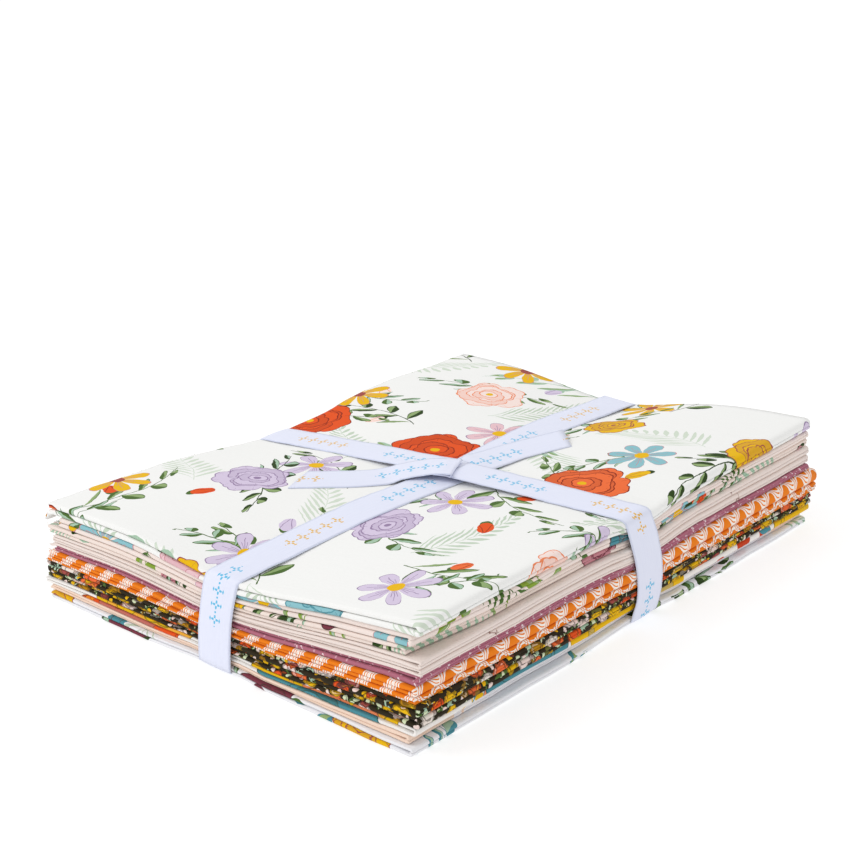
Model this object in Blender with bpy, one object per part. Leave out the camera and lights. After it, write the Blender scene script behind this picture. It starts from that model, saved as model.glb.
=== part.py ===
"""A bundle of folded quilting cottons, tied like a parcel with one flat ribbon.

+Z is up and the origin lies under the middle of the bundle. The closed folds of the cottons face +X and their
open ends face -X. The long side runs along Y. Lengths are in millimetres until a mesh is made from them.
"""

import math

import bmesh
import bpy
from mathutils import Matrix, Vector
from mathutils.bvhtree import BVHTree

MM = 0.001

# Plan of the pile. Corner values are always in this order: fold side at -Y, fold side at +Y, open side at -Y,
# open side at +Y.
HALF_SHORT = 106.0
HALF_LONG = 140.0
PILE_HEIGHT = (56.0, 52.6, 42.5, 36.8)

# Where the tied ribbon pulls the top of the pile down: place, depth, and how far the dip spreads each way.
DIPS = (
    {"x": 4.0, "y": -140.0, "depth": 9.0, "to_open": 42.0, "to_fold": 62.0, "along": 60.0},
    {"x": -3.0, "y": 140.0, "depth": 10.3, "to_open": 52.0, "to_fold": 43.0, "along": 60.0},
    {"x": -106.0, "y": -3.0, "depth": 6.8, "to_open": 50.0, "to_fold": 50.0, "along": 45.0},
    {"x": 106.0, "y": 5.0, "depth": 4.2, "to_open": 40.0, "to_fold": 40.0, "along": 22.0},
    {"x": 5.0, "y": 0.0, "depth": 4.0, "to_open": 60.0, "to_fold": 60.0, "along": 80.0},
)

# Clear space between two cuts, and between the layers inside one cut
CUT_GAP = 0.36
LAYER_GAP = 0.3
# The slot inside a fold is this much wider, over this length
FOLD_SLOT = 0.8
FOLD_SLOT_LENGTH = 9.0
# A fold's nose is this many times longer than half its height
NOSE = 1.1
NOSE_ANGLES = (-60, -28, 0, 28, 60)
NOSE_INSIDE_LEAST = 0.25
# The front and back of a layer are folded edges: rounded over this length to this share of the thickness
EDGE_ROUND = 1.3
EDGE_SHARE = 0.45
# Rows of points keep this far from a layer's open end, and from where the slot of a fold starts
CLEAR_OF_OPEN_END = 6.0
CLEAR_OF_SLOT = 3.0

# The cuts from the bottom to the top.
# thick: thickness at the four corners.
# fold_reach and open_reach: how far the +X and -X ends go, at -Y and at +Y.
# front_reach and back_reach: how far the -Y and +Y ends go, at the open side and at the fold side.
# layers: each layer's share of the cloth, from the bottom.
# stagger: how far every second layer stands back, or every first one where it is negative.
CUTS = (
    {"name": "cut_base_white", "colour": (0.90, 0.90, 0.90), "thick": (3.5, 3.3, 2.9, 2.5),
     "fold_reach": (105.5, 107.5), "open_reach": (104.0, 104.0), "front_reach": (144.5, 142.5),
     "back_reach": (139.0, 139.5), "layers": (0.5, 0.5), "stagger": 0.6},
    {"name": "cut_peach", "colour": (0.93, 0.80, 0.72), "thick": (4.2, 2.9, 2.8, 2.6),
     "fold_reach": (102.5, 105.0), "open_reach": (105.0, 106.0), "front_reach": (143.0, 141.0),
     "back_reach": (140.0, 138.0), "layers": (0.5, 0.5), "stagger": -0.7},
    {"name": "cut_colour_block", "colour": (0.25, 0.55, 0.60), "thick": (3.6, 4.1, 3.2, 2.8),
     "fold_reach": (104.8, 107.6), "open_reach": (107.5, 105.0), "front_reach": (143.5, 140.5),
     "back_reach": (139.0, 141.0), "layers": (0.46, 0.54), "stagger": 0.9},
    {"name": "cut_dark_garden", "colour": (0.03, 0.025, 0.02), "thick": (9.9, 6.6, 7.2, 6.2),
     "fold_reach": (107.0, 108.6), "open_reach": (107.5, 106.5), "front_reach": (142.5, 140.5),
     "back_reach": (140.5, 140.5), "layers": (0.22, 0.25, 0.27, 0.26), "stagger": 1.1},
    {"name": "cut_orange_arches", "colour": (0.85, 0.22, 0.02), "thick": (7.4, 11.0, 5.6, 5.4),
     "fold_reach": (105.4, 110.4), "open_reach": (107.0, 105.5), "front_reach": (142.0, 140.8),
     "back_reach": (141.0, 142.5), "layers": (0.19, 0.21, 0.3, 0.3), "stagger": -0.9},
    {"name": "cut_mauve_sprig", "colour": (0.45, 0.15, 0.20), "thick": (4.6, 3.0, 2.6, 2.3),
     "fold_reach": (105.4, 107.4), "open_reach": (103.5, 104.0), "front_reach": (140.5, 139.6),
     "back_reach": (139.0, 139.5), "layers": (0.55, 0.45), "stagger": 0.8},
    {"name": "cut_cream_sprig", "colour": (0.86, 0.77, 0.72), "thick": (6.6, 9.4, 4.8, 4.4),
     "fold_reach": (107.2, 106.2), "open_reach": (104.5, 105.5), "front_reach": (140.8, 140.0),
     "back_reach": (140.5, 139.8), "layers": (0.24, 0.24, 0.26, 0.26), "stagger": 0.7},
    {"name": "cut_blush_lower", "colour": (0.88, 0.76, 0.72), "thick": (4.7, 3.4, 4.3, 3.4),
     "fold_reach": (98.8, 105.2), "open_reach": (107.0, 105.0), "front_reach": (140.4, 139.6),
     "back_reach": (140.0, 139.5), "layers": (0.5, 0.5), "stagger": -0.8},
    {"name": "cut_blush_upper", "colour": (0.90, 0.80, 0.76), "thick": (5.0, 3.4, 4.6, 3.4),
     "fold_reach": (102.6, 105.6), "open_reach": (100.0, 104.0), "front_reach": (140.0, 139.4),
     "back_reach": (139.5, 140.0), "layers": (0.48, 0.52), "stagger": 0.8},
    {"name": "cut_white_floral", "colour": (0.92, 0.92, 0.90), "thick": (6.0, 6.4, 5.6, 4.8),
     "fold_reach": (107.2, 106.0), "open_reach": (106.5, 105.5), "front_reach": (139.6, 140.2),
     "back_reach": (140.5, 141.0), "layers": (0.48, 0.52), "stagger": 0.7},
)

# The ribbon: one flat length, wrapped both ways round and tied on top
RIBBON_COLOUR = (0.80, 0.83, 0.95)
RIBBON_WIDTH = 18.5
RIBBON_THICK = 1.0
RIBBON_GAP = 0.3
CORNER_STEP = math.radians(24)
# The middle line of the long wrap, as x from -Y to +Y, and of the short one, as y from -X to +X.
# top: at the two edges, with the knot between. under: at the two edges below.
# bow: how far it strays halfway down each side.
KNOT_PLACE = (10.0, -5.0)
LONG_WRAP = {"top": (2.0, KNOT_PLACE[0], -1.5), "under": (0.5, -1.5), "bow": (-2.0, 0.0)}
SHORT_WRAP = {"top": (-2.8, KNOT_PLACE[1], -2.0), "under": (-2.8, 5.0), "bow": (0.0, 5.0)}

# Under the bundle the ribbon lies in a shallow channel, and where it crosses itself in a deeper pocket
CHANNEL_X = (-32.0, -21.0, 15.0, 26.0)
CHANNEL_Y = (-28.0, -17.0, 17.0, 28.0)
RIBBON_CLEAR_OF_FLOOR = 0.2
CHANNEL_DEPTH = RIBBON_CLEAR_OF_FLOOR + RIBBON_THICK + RIBBON_GAP
POCKET_DEPTH = RIBBON_THICK + RIBBON_GAP
# How fast the channel fades out in the cuts above
CHANNEL_FADE = 3

# Places where every cut has a row of points
ROWS_X = (-66.0, *CHANNEL_X, 64.0)
ROWS_Y = (-86.0, *CHANNEL_Y, 86.0)

# Tails: the middle of each from the knot to its cut end, in plan, and how far the end is cut off at a slant
LEFT_TAIL = {"route": ((1.6, -12.0), (-10.0, -21.8), (-21.5, -35.5), (-40.1, -53.0)), "slant": -4.2}
RIGHT_TAIL = {"route": ((9.0, 5.6), (9.0, 19.0), (14.2, 36.0), (24.1, 59.8)), "slant": -3.5}
TAIL_STEPS = 10

# The knot: a flattened hitch over the crossing
KNOT_SIZE = (17.0, 15.0, 3.0)
KNOT_TURN = math.radians(38)
KNOT_GROOVE = 0.35
KNOT_SEGMENTS = (16, 8)

# Edges that turn more than this are drawn sharp
SHARP_ANGLE = math.radians(40)

# How the wraps are measured from what they enclose
RAYS_ALONG = 60
RAYS_ACROSS = 3
RAY_RISE = 0.5
HULL_SLACK = 0.08
WRAP_STEP = 22.0
SIDE_STEP = 12.0
# The sides of the pile begin this far inside its plan
EDGE_ZONE = 7.0


def clear_scene():
    for obj in list(bpy.data.objects):
        bpy.data.objects.remove(obj)


def make_collection(name):
    collection = bpy.data.collections.new(name)
    bpy.context.scene.collection.children.link(collection)
    return collection


def make_material(name, colour, roughness):
    material = bpy.data.materials.new(name)
    material.use_nodes = True
    shader = material.node_tree.nodes["Principled BSDF"]
    shader.inputs["Base Color"].default_value = (*colour, 1.0)
    shader.inputs["Roughness"].default_value = roughness
    shader.inputs["Metallic"].default_value = 0.0
    return material


def mix(a, b, share):
    return a + (b - a) * share


def over_corners(values, x, y):
    """The value at a place in plan, from its values at the four corners."""
    across = (x + HALF_SHORT) / (2 * HALF_SHORT)
    along = (y + HALF_LONG) / (2 * HALF_LONG)
    fold_front, fold_back, open_front, open_back = values
    return mix(mix(open_front, fold_front, across), mix(open_back, fold_back, across), along)


def pile_top(x, y):
    """The height of the pile's upper face."""
    height = over_corners(PILE_HEIGHT, x, y)
    for dip in DIPS:
        spread = dip["to_fold"] if x > dip["x"] else dip["to_open"]
        away = ((x - dip["x"]) / spread) ** 2 + ((y - dip["y"]) / dip["along"]) ** 2
        height -= dip["depth"] * math.exp(-away)
    return height


def inside_channel(value, stops):
    """1 in the flat middle of a channel, 0 outside it, and straight slopes between."""
    rise = (value - stops[0]) / (stops[1] - stops[0])
    fall = (stops[3] - value) / (stops[3] - stops[2])
    return max(0.0, min(1.0, rise, fall))


def pile_bottom(x, y):
    """The height of the pile's lower face: 0 but for the ribbon's channels."""
    long_way = inside_channel(x, CHANNEL_X)
    short_way = inside_channel(y, CHANNEL_Y)
    return CHANNEL_DEPTH * max(long_way, short_way) + POCKET_DEPTH * long_way * short_way


def level(index, x, y):
    """The height of the face between cut index - 1 and cut index."""
    thicknesses = [over_corners(cut["thick"], x, y) for cut in CUTS]
    share = sum(thicknesses[:index]) / sum(thicknesses)
    return share * pile_top(x, y) + (1 - share) ** CHANNEL_FADE * pile_bottom(x, y)


def layer_faces(index, x, y):
    """The lower and upper height of each layer of a cut, from the bottom layer up."""
    cut = CUTS[index]
    low = level(index, x, y) + (CUT_GAP / 2 if index > 0 else 0.0)
    high = level(index + 1, x, y) - (CUT_GAP / 2 if index < len(CUTS) - 1 else 0.0)
    cloth = high - low - LAYER_GAP * (len(cut["layers"]) - 1)
    faces = []
    for share in cut["layers"]:
        faces.append((low, low + share * cloth))
        low += share * cloth + LAYER_GAP
    return faces


def reach_at(pair, half_length, place):
    """A reach between its values at the low end and the high end of an edge."""
    return mix(pair[0], pair[1], (place + half_length) / (2 * half_length))


def nose(centre, semi_height, length, side):
    """Points round the end of a fold, from its lower side to its upper side."""
    points = []
    for angle in NOSE_ANGLES:
        turn = math.radians(angle)
        points.append((centre[0] + side * length * math.cos(turn), centre[1] + semi_height * math.sin(turn)))
    return points


def fold(index, lower, start, y, side):
    """The outer and inner points of the fold that joins layer lower to the one above it."""
    faces = layer_faces(index, start, y)
    under, over = faces[lower], faces[lower + 1]
    slot = FOLD_SLOT if side > 0 else 0.0
    outer_half = (over[1] - under[0]) / 2
    inner_half = (over[0] - under[1]) / 2 + slot / 2
    length = outer_half * NOSE
    wall = (over[1] - over[0] + under[1] - under[0]) / 2 - slot / 2
    outer = nose((start, under[0] + outer_half), outer_half, length, side)
    inner_length = max(NOSE_INSIDE_LEAST, length - wall)
    inner = nose((start, (over[0] + under[1]) / 2), inner_half, inner_length, side)
    return outer, inner


def section(index, y):
    """A cut's section at one y: pairs of points, on the right and on the left of the way along the cloth."""
    cut = CUTS[index]
    count = len(cut["layers"])
    fold_end = reach_at(cut["fold_reach"], HALF_LONG, y)
    open_end = -reach_at(cut["open_reach"], HALF_LONG, y)
    pairs = []
    for layer in range(count):
        outward = layer % 2 == 0
        pair_low = layer if outward else layer - 1
        faces = layer_faces(index, fold_end, y)
        start = fold_end - (faces[pair_low + 1][1] - faces[pair_low][0]) / 2 * NOSE
        left = open_end
        joined_low = layer - 1 if outward else layer
        if 0 <= joined_low < count - 1:
            faces = layer_faces(index, open_end, y)
            left = open_end + (faces[joined_low + 1][1] - faces[joined_low][0]) / 2 * NOSE
        free_end = layer in (0, count - 1)
        places = [left] + ([left + EDGE_ROUND] if free_end else [])
        last = start - FOLD_SLOT_LENGTH - CLEAR_OF_SLOT
        places += [x for x in ROWS_X if left + CLEAR_OF_OPEN_END < x < last]
        places += [start - FOLD_SLOT_LENGTH, start]
        run = []
        for x in places:
            low, high = layer_faces(index, x, y)[layer]
            if x == start:
                if outward:
                    high -= FOLD_SLOT / 2
                else:
                    low += FOLD_SLOT / 2
            if free_end and x == left:
                middle, half = (low + high) / 2, (high - low) / 2 * EDGE_SHARE
                low, high = middle - half, middle + half
            run.append(((x, low), (x, high)) if outward else ((x, high), (x, low)))
        pairs += run if outward else run[::-1]
        if layer < count - 1:
            if outward:
                outer, inner = fold(index, layer, start, y, 1)
                pairs += list(zip(outer, inner))
            else:
                outer, inner = fold(index, layer, left, y, -1)
                pairs += list(zip(inner, outer))
    return pairs


def end_place(cut, end, x, layers_done):
    """How far along Y a cut's front or back goes. Every second layer stands back a little."""
    wave = 0.5 - 0.5 * math.cos(math.pi * (layers_done - 0.5))
    stagger = cut["stagger"]
    back = stagger * wave if stagger > 0 else stagger * (wave - 1)
    if end == "front":
        return back - reach_at(cut["front_reach"], HALF_SHORT, x)
    return reach_at(cut["back_reach"], HALF_SHORT, x) - back


def cut_rows(index):
    """A cut's points: one row for each place along Y, each row a section."""
    cut = CUTS[index]
    stations = [("front", 0.0, EDGE_SHARE), ("front", EDGE_ROUND, 1.0)]
    stations += [(None, y, 1.0) for y in ROWS_Y]
    stations += [("back", -EDGE_ROUND, 1.0), ("back", 0.0, EDGE_SHARE)]
    rows = []
    for end, offset, share in stations:
        pairs = section(index, offset + (end_place(cut, end, 0.0, 0.0) if end else 0.0))
        per_layer = len(pairs) / len(cut["layers"])
        row = []
        for number, (a, b) in enumerate(pairs):
            y = offset + (end_place(cut, end, a[0], number / per_layer) if end else 0.0)
            middle = ((a[0] + b[0]) / 2, (a[1] + b[1]) / 2)
            right = Vector((mix(middle[0], a[0], share), y, mix(middle[1], a[1], share)))
            left = Vector((mix(middle[0], b[0], share), y, mix(middle[1], b[1], share)))
            row.append((right, left))
        rows.append(row)
    return rows


def thick_strip(name, rows, closed, collection, material):
    """A sheet with thickness, from rows of point pairs. A closed strip joins its last pair to its first."""
    mesh = bmesh.new()
    verts = []
    for row in rows:
        verts.append([tuple(mesh.verts.new(point * MM) for point in pair) for pair in row])
    count = len(rows[0])
    spans = count if closed else count - 1
    for j in range(len(rows) - 1):
        for k in range(spans):
            nearer, further = verts[j][k], verts[j][(k + 1) % count]
            nearer_up, further_up = verts[j + 1][k], verts[j + 1][(k + 1) % count]
            for side in (0, 1):
                # the diagonal always runs the same way in plan, so that neighbouring cuts stay parallel
                if further[side].co.x > nearer[side].co.x:
                    mesh.faces.new((nearer[side], further[side], further_up[side]))
                    mesh.faces.new((nearer[side], further_up[side], nearer_up[side]))
                else:
                    mesh.faces.new((nearer[side], further[side], nearer_up[side]))
                    mesh.faces.new((further[side], further_up[side], nearer_up[side]))
    for j in (0, len(rows) - 1):
        for k in range(spans):
            first, second = verts[j][k], verts[j][(k + 1) % count]
            mesh.faces.new((first[0], first[1], second[1], second[0]))
    if not closed:
        for j in range(len(rows) - 1):
            for k in (0, count - 1):
                mesh.faces.new((verts[j][k][0], verts[j][k][1], verts[j + 1][k][1], verts[j + 1][k][0]))
    bmesh.ops.recalc_face_normals(mesh, faces=mesh.faces)
    return finish_mesh(name, mesh, collection, material)


def finish_mesh(name, mesh, collection, material):
    data = bpy.data.meshes.new(name)
    mesh.to_mesh(data)
    mesh.free()
    data.materials.append(material)
    obj = bpy.data.objects.new(name, data)
    collection.objects.link(obj)
    return obj


def tree_of(objects):
    """One search tree of the faces of several objects, in millimetres."""
    points, faces = [], []
    for obj in objects:
        first = len(points)
        points += [v.co / MM for v in obj.data.vertices]
        faces += [[first + i for i in p.vertices] for p in obj.data.polygons]
    return BVHTree.FromPolygons(points, faces)


def wrap_middle(line, half_length, place, height):
    """The middle of a wrap: bent at the knot on top, straight underneath, and drifting down the sides."""
    on_side = abs(place) > half_length - EDGE_ZONE
    place = max(-half_length, min(half_length, place))
    knot_at = KNOT_PLACE[1] if half_length == HALF_LONG else KNOT_PLACE[0]
    start, middle, end = line["top"]
    if place < knot_at:
        top = mix(start, middle, (place + half_length) / (knot_at + half_length))
    else:
        top = mix(middle, end, (place - knot_at) / (half_length - knot_at))
    under = mix(*line["under"], (place + half_length) / (2 * half_length))
    if not on_side:
        return top if height > min(PILE_HEIGHT) / 2 else under
    edge_middle, bow = (start, line["bow"][0]) if place < 0 else (end, line["bow"][1])
    edge_top = pile_top(edge_middle, place) if half_length == HALF_LONG else pile_top(place, edge_middle)
    down = max(0.0, min(1.0, 1 - height / edge_top))
    return mix(top, under, down) + bow * 4 * down * (1 - down)


def wrap_point(line, along_y, distance, offset, height, side_height):
    """A point of a wrap, moved sideways by offset. side_height picks the place on the middle line."""
    half_length = HALF_LONG if along_y else HALF_SHORT
    middle = wrap_middle(line, half_length, distance, side_height) + offset
    return Vector((middle, distance, height) if along_y else (distance, middle, height))


def touched_points(tree, along_y, line):
    """Where a taut ribbon could touch what it wraps, as points in the wrap's plane, found with rays."""
    half_length = HALF_LONG if along_y else HALF_SHORT
    top, count = max(PILE_HEIGHT), RAYS_ALONG
    half_width = RIBBON_WIDTH / 2 + RIBBON_GAP
    offsets = [half_width * i / RAYS_ACROSS for i in range(-RAYS_ACROSS, RAYS_ACROSS + 1)]
    found = []

    def look(distance, height, offset, way, side_height):
        start = wrap_point(line, along_y, distance, offset, height, side_height)
        hit = tree.ray_cast(start, way)[0]
        if hit:
            found.append((hit.y if along_y else hit.x, hit.z))

    sideways = Vector((0, 1, 0)) if along_y else Vector((1, 0, 0))
    for offset in offsets:
        for step in range(-count, count + 1):
            distance = step * (half_length + EDGE_ZONE) / count
            look(distance, 2 * top, offset, Vector((0, 0, -1)), top)
            look(distance, -top, offset, Vector((0, 0, 1)), 0.0)
        for step in range(1, int(top / RAY_RISE)):
            height = step * RAY_RISE
            for side in (-1, 1):
                look(side * (half_length + top), height, offset, -side * sideways, height)
    return found


def hull(points):
    """The convex outline of points, counter-clockwise."""
    ordered = sorted(set((round(x, 2), round(z, 2)) for x, z in points))

    def chain(sequence):
        kept = []
        for p in sequence:
            while len(kept) > 1:
                (ax, az), (bx, bz) = kept[-2], kept[-1]
                if (bx - ax) * (p[1] - az) - (bz - az) * (p[0] - ax) > 0:
                    break
                kept.pop()
            kept.append(p)
        return kept[:-1]

    return chain(ordered) + chain(ordered[::-1])


def fewer(points, slack):
    """The outline without the corners that stand out less than slack from the line past them."""
    kept = list(points)
    i = 0
    while i < len(kept):
        (ax, az), (bx, bz), (cx, cz) = kept[i - 1], kept[i], kept[(i + 1) % len(kept)]
        away = abs((cx - ax) * (bz - az) - (cz - az) * (bx - ax)) / math.dist((ax, az), (cx, cz))
        if away < slack:
            kept.pop(i)
        else:
            i += 1
    return kept


def taut_path(points):
    """A closed path around a convex outline: places on the outline with their outward directions."""
    path = []
    count = len(points)
    for i, here in enumerate(points):
        before, after = points[i - 1], points[(i + 1) % count]
        first = math.atan2(before[0] - here[0], here[1] - before[1])
        second = math.atan2(here[0] - after[0], after[1] - here[1])
        turn = (second - first) % (2 * math.pi)
        steps = max(1, math.ceil(turn / CORNER_STEP))
        for step in range(steps + 1):
            angle = first + turn * step / steps
            path.append((here, (math.cos(angle), math.sin(angle))))
    return path


def wrap(name, tree, along_y, line, collection, material):
    """A closed band around the pile, as taut as a tied ribbon."""
    outline = fewer(hull(touched_points(tree, along_y, line)), HULL_SLACK)
    inner_way = RIBBON_GAP + HULL_SLACK
    pairs = []
    for (x, z), (nx, nz) in taut_path(outline):
        inner = (x + nx * inner_way, z + nz * inner_way)
        outer = (inner[0] + nx * RIBBON_THICK, inner[1] + nz * RIBBON_THICK)
        pairs.append((outer, inner))
    breaks = [KNOT_PLACE[1], *CHANNEL_Y] if along_y else [KNOT_PLACE[0]]
    dense = []
    for (outer, inner), (next_outer, next_inner) in zip(pairs, pairs[1:] + pairs[:1]):
        run = next_inner[0] - inner[0]
        steps = max(1, round(abs(run) / WRAP_STEP), round(abs(next_inner[1] - inner[1]) / SIDE_STEP))
        shares = {step / steps for step in range(steps)}
        if abs(run) > WRAP_STEP:
            shares |= {(stop - inner[0]) / run for stop in breaks if 0.001 < (stop - inner[0]) / run < 0.999}
        for share in sorted(shares):
            dense.append(
                tuple(
                    (mix(a[0], b[0], share), mix(a[1], b[1], share))
                    for a, b in ((outer, next_outer), (inner, next_inner))
                )
            )
    rows = []
    for offset in (-RIBBON_WIDTH / 2, RIBBON_WIDTH / 2):
        row = []
        for pair in dense:
            inner_height = pair[1][1]
            row.append(tuple(wrap_point(line, along_y, p[0], offset, p[1], inner_height) for p in pair))
        rows.append(row)
    if along_y:
        for row in rows:
            for pair in row:
                for point in pair:
                    if pair[1].z < CHANNEL_DEPTH + POCKET_DEPTH:
                        point.z += POCKET_DEPTH * inside_channel(point.y, CHANNEL_Y)
    return thick_strip(name, rows, True, collection, material)


def smooth_route(stops, count):
    """Points along a smooth curve through the stops, with the way it runs at each."""
    stops = [Vector(stop) for stop in stops]
    ends = [2 * stops[0] - stops[1], *stops, 2 * stops[-1] - stops[-2]]
    spans = len(stops) - 1
    route = []
    for i in range(count + 1):
        at = min(i * spans / count, spans - 1e-9)
        k, t = int(at), at - int(at)
        a, b, c, d = ends[k : k + 4]
        linear, square, cube = c - a, 2 * a - 5 * b + 4 * c - d, 3 * b - a - 3 * c + d
        point = b + (linear * t + square * t**2 + cube * t**3) / 2
        way = linear + 2 * square * t + 3 * cube * t**2
        route.append((point, way.normalized()))
    return route


def resting_height(tree, place, way, reach):
    """The height of the highest thing under a stretch of ribbon around a place in plan."""
    across = Vector((way.y, -way.x))
    found = []
    for i in range(-RAYS_ACROSS, RAYS_ACROSS + 1):
        for j in (-1, -0.5, 0, 0.5, 1):
            spot = place + across * i / RAYS_ACROSS * (RIBBON_WIDTH / 2 + RIBBON_GAP) + way * j * reach
            hit = tree.ray_cast(Vector((spot.x, spot.y, 2 * max(PILE_HEIGHT))), Vector((0, 0, -1)))[0]
            if hit:
                found.append(hit.z)
    return max(found)


def tail(name, shape, tree, collection, material):
    """A free end of the ribbon, lying on what is under it, cut off at a slant."""
    route = smooth_route(shape["route"], TAIL_STEPS)
    reach = math.dist(shape["route"][0], shape["route"][-1]) / TAIL_STEPS
    heights = [resting_height(tree, point, way, reach) for point, way in route]
    rows = []
    for side in (-1, 0, 1):
        row = []
        for i, (point, way) in enumerate(route):
            across = Vector((way.y, -way.x)) * RIBBON_WIDTH / 2 * side
            slant = way * side * shape["slant"] if i == TAIL_STEPS else Vector((0.0, 0.0))
            spot = point + across + slant
            low = heights[i] + RIBBON_GAP
            row.append((Vector((spot.x, spot.y, low + RIBBON_THICK)), Vector((spot.x, spot.y, low))))
        rows.append(row)
    return thick_strip(name, rows, False, collection, material)


def knot(name, tree, collection, material):
    """The hitch over the crossing: a flattened pad with two soft grooves across it."""
    mesh = bmesh.new()
    bmesh.ops.create_uvsphere(mesh, u_segments=KNOT_SEGMENTS[0], v_segments=KNOT_SEGMENTS[1], radius=0.5)
    turn_cos, turn_sin = math.cos(KNOT_TURN), math.sin(KNOT_TURN)
    centre = Vector(KNOT_PLACE)
    reach = max(KNOT_SIZE[:2]) / 2
    base = max(
        resting_height(tree, centre + Vector((i, j)) * reach / 2, Vector((1.0, 0.0)), reach / 2)
        for i in (-1, 1)
        for j in (-1, 1)
    )
    for vert in mesh.verts:
        along, across, up = vert.co * 2
        groove = 1.0 - KNOT_GROOVE * (1 - math.cos(2 * math.pi * along)) / 2
        x, y = along * KNOT_SIZE[0] / 2, across * KNOT_SIZE[1] / 2
        height = KNOT_SIZE[2] * (0.5 + 0.5 * up * (groove if up > 0 else 1.0))
        turned = Vector((x * turn_cos - y * turn_sin, x * turn_sin + y * turn_cos))
        vert.co = Vector((*(centre + turned), base + RIBBON_GAP + height)) * MM
    return finish_mesh(name, mesh, collection, material)


def centre_on_origin(pieces):
    """Move the finished bundle so that the origin lies under its middle."""
    corners = [vert.co for obj in pieces for vert in obj.data.vertices]
    middle = [(min(co[axis] for co in corners) + max(co[axis] for co in corners)) / 2 for axis in (0, 1)]
    for obj in pieces:
        obj.data.transform(Matrix.Translation((-middle[0], -middle[1], 0.0)))


def main():
    clear_scene()
    bundle = make_collection("fabric_bundle")
    pieces = []
    for index, cut in enumerate(CUTS):
        material = make_material(cut["name"] + "_cotton", cut["colour"], 0.9)
        pieces.append(thick_strip(cut["name"], cut_rows(index), False, bundle, material))
    ribbon = make_material("ribbon_satin", RIBBON_COLOUR, 0.5)
    pieces.append(wrap("ribbon_wrap_long", tree_of(pieces), True, LONG_WRAP, bundle, ribbon))
    pieces.append(wrap("ribbon_wrap_short", tree_of(pieces), False, SHORT_WRAP, bundle, ribbon))
    wraps = tree_of(pieces)
    pieces.append(knot("ribbon_knot", wraps, bundle, ribbon))
    pieces.append(tail("ribbon_tail_left", LEFT_TAIL, wraps, bundle, ribbon))
    pieces.append(tail("ribbon_tail_right", RIGHT_TAIL, wraps, bundle, ribbon))
    centre_on_origin(pieces)
    for obj in pieces:
        for poly in obj.data.polygons:
            poly.use_smooth = True
        obj.data.set_sharp_from_angle(angle=SHARP_ANGLE)


main()
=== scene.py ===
# %% [markdown]
# # A tied bundle of folded quilting cottons
#
# Ten lengths of printed cotton are folded, stacked and tied both ways round with one flat ribbon. The plain
# solids of the bundle are loaded as a fixed frame, and this script makes the cloth and ribbon that are
# seen. Lengths are in millimetres until a mesh is made from them.

# %% Load the frame
import math

import bpy
import numpy as np
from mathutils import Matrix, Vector
from mathutils.bvhtree import BVHTree


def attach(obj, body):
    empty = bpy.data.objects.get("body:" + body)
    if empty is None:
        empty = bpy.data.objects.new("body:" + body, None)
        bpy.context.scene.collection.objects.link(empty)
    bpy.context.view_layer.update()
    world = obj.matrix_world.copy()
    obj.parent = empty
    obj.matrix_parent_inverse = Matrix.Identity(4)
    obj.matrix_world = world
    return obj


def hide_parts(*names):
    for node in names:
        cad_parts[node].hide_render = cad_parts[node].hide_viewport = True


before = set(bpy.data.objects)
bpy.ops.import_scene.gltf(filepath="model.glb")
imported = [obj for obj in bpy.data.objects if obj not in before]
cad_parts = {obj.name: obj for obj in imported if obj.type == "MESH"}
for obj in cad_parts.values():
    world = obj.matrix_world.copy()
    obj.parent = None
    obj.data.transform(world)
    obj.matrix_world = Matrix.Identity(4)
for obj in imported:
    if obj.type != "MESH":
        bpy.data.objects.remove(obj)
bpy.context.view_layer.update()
print("solids:", sorted(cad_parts))

# %% [markdown]
# ## The shape of the pile
#
# All the cottons lie on one another, so one rule gives the height of every layer. The pile has a height at
# each of its four corners, soft dips where the tied ribbon pulls it down, and shallow channels underneath
# for the ribbon. Each cut takes its share of that height. The same rule shaped the solids, so the cloth
# lies in their space.

# %% Sizes of the pile
MM = 0.001
# From the middle of the pile's plan to the frame's origin
SHIFT = np.array([-0.98, 0.87, 0.0])
HALF_SHORT = 106.0
HALF_LONG = 140.0
# Corner values: fold side at -Y, fold side at +Y, open side at -Y, open side at +Y
PILE_HEIGHT = (56.0, 52.6, 42.5, 36.8)
DIPS = (
    {"x": 4.0, "y": -140.0, "depth": 9.0, "to_open": 42.0, "to_fold": 62.0, "along": 60.0},
    {"x": -3.0, "y": 140.0, "depth": 10.3, "to_open": 52.0, "to_fold": 43.0, "along": 60.0},
    {"x": -106.0, "y": -3.0, "depth": 6.8, "to_open": 50.0, "to_fold": 50.0, "along": 45.0},
    {"x": 106.0, "y": 5.0, "depth": 4.2, "to_open": 40.0, "to_fold": 40.0, "along": 22.0},
    {"x": 5.0, "y": 0.0, "depth": 4.0, "to_open": 60.0, "to_fold": 60.0, "along": 80.0},
)
# A channel for the ribbon: where it starts, is deep, is still deep and ends
CHANNEL_X = (-32.0, -21.0, 15.0, 26.0)
CHANNEL_Y = (-28.0, -17.0, 17.0, 28.0)
CHANNEL_DEPTH = 1.5
# How much deeper it is where the two channels cross
POCKET_DEPTH = 1.3
# The channels fade with this power from cut to cut
CHANNEL_FADE = 3
print("pile in millimetres:", 2 * HALF_SHORT, "x", 2 * HALF_LONG, "x", max(PILE_HEIGHT))

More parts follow.
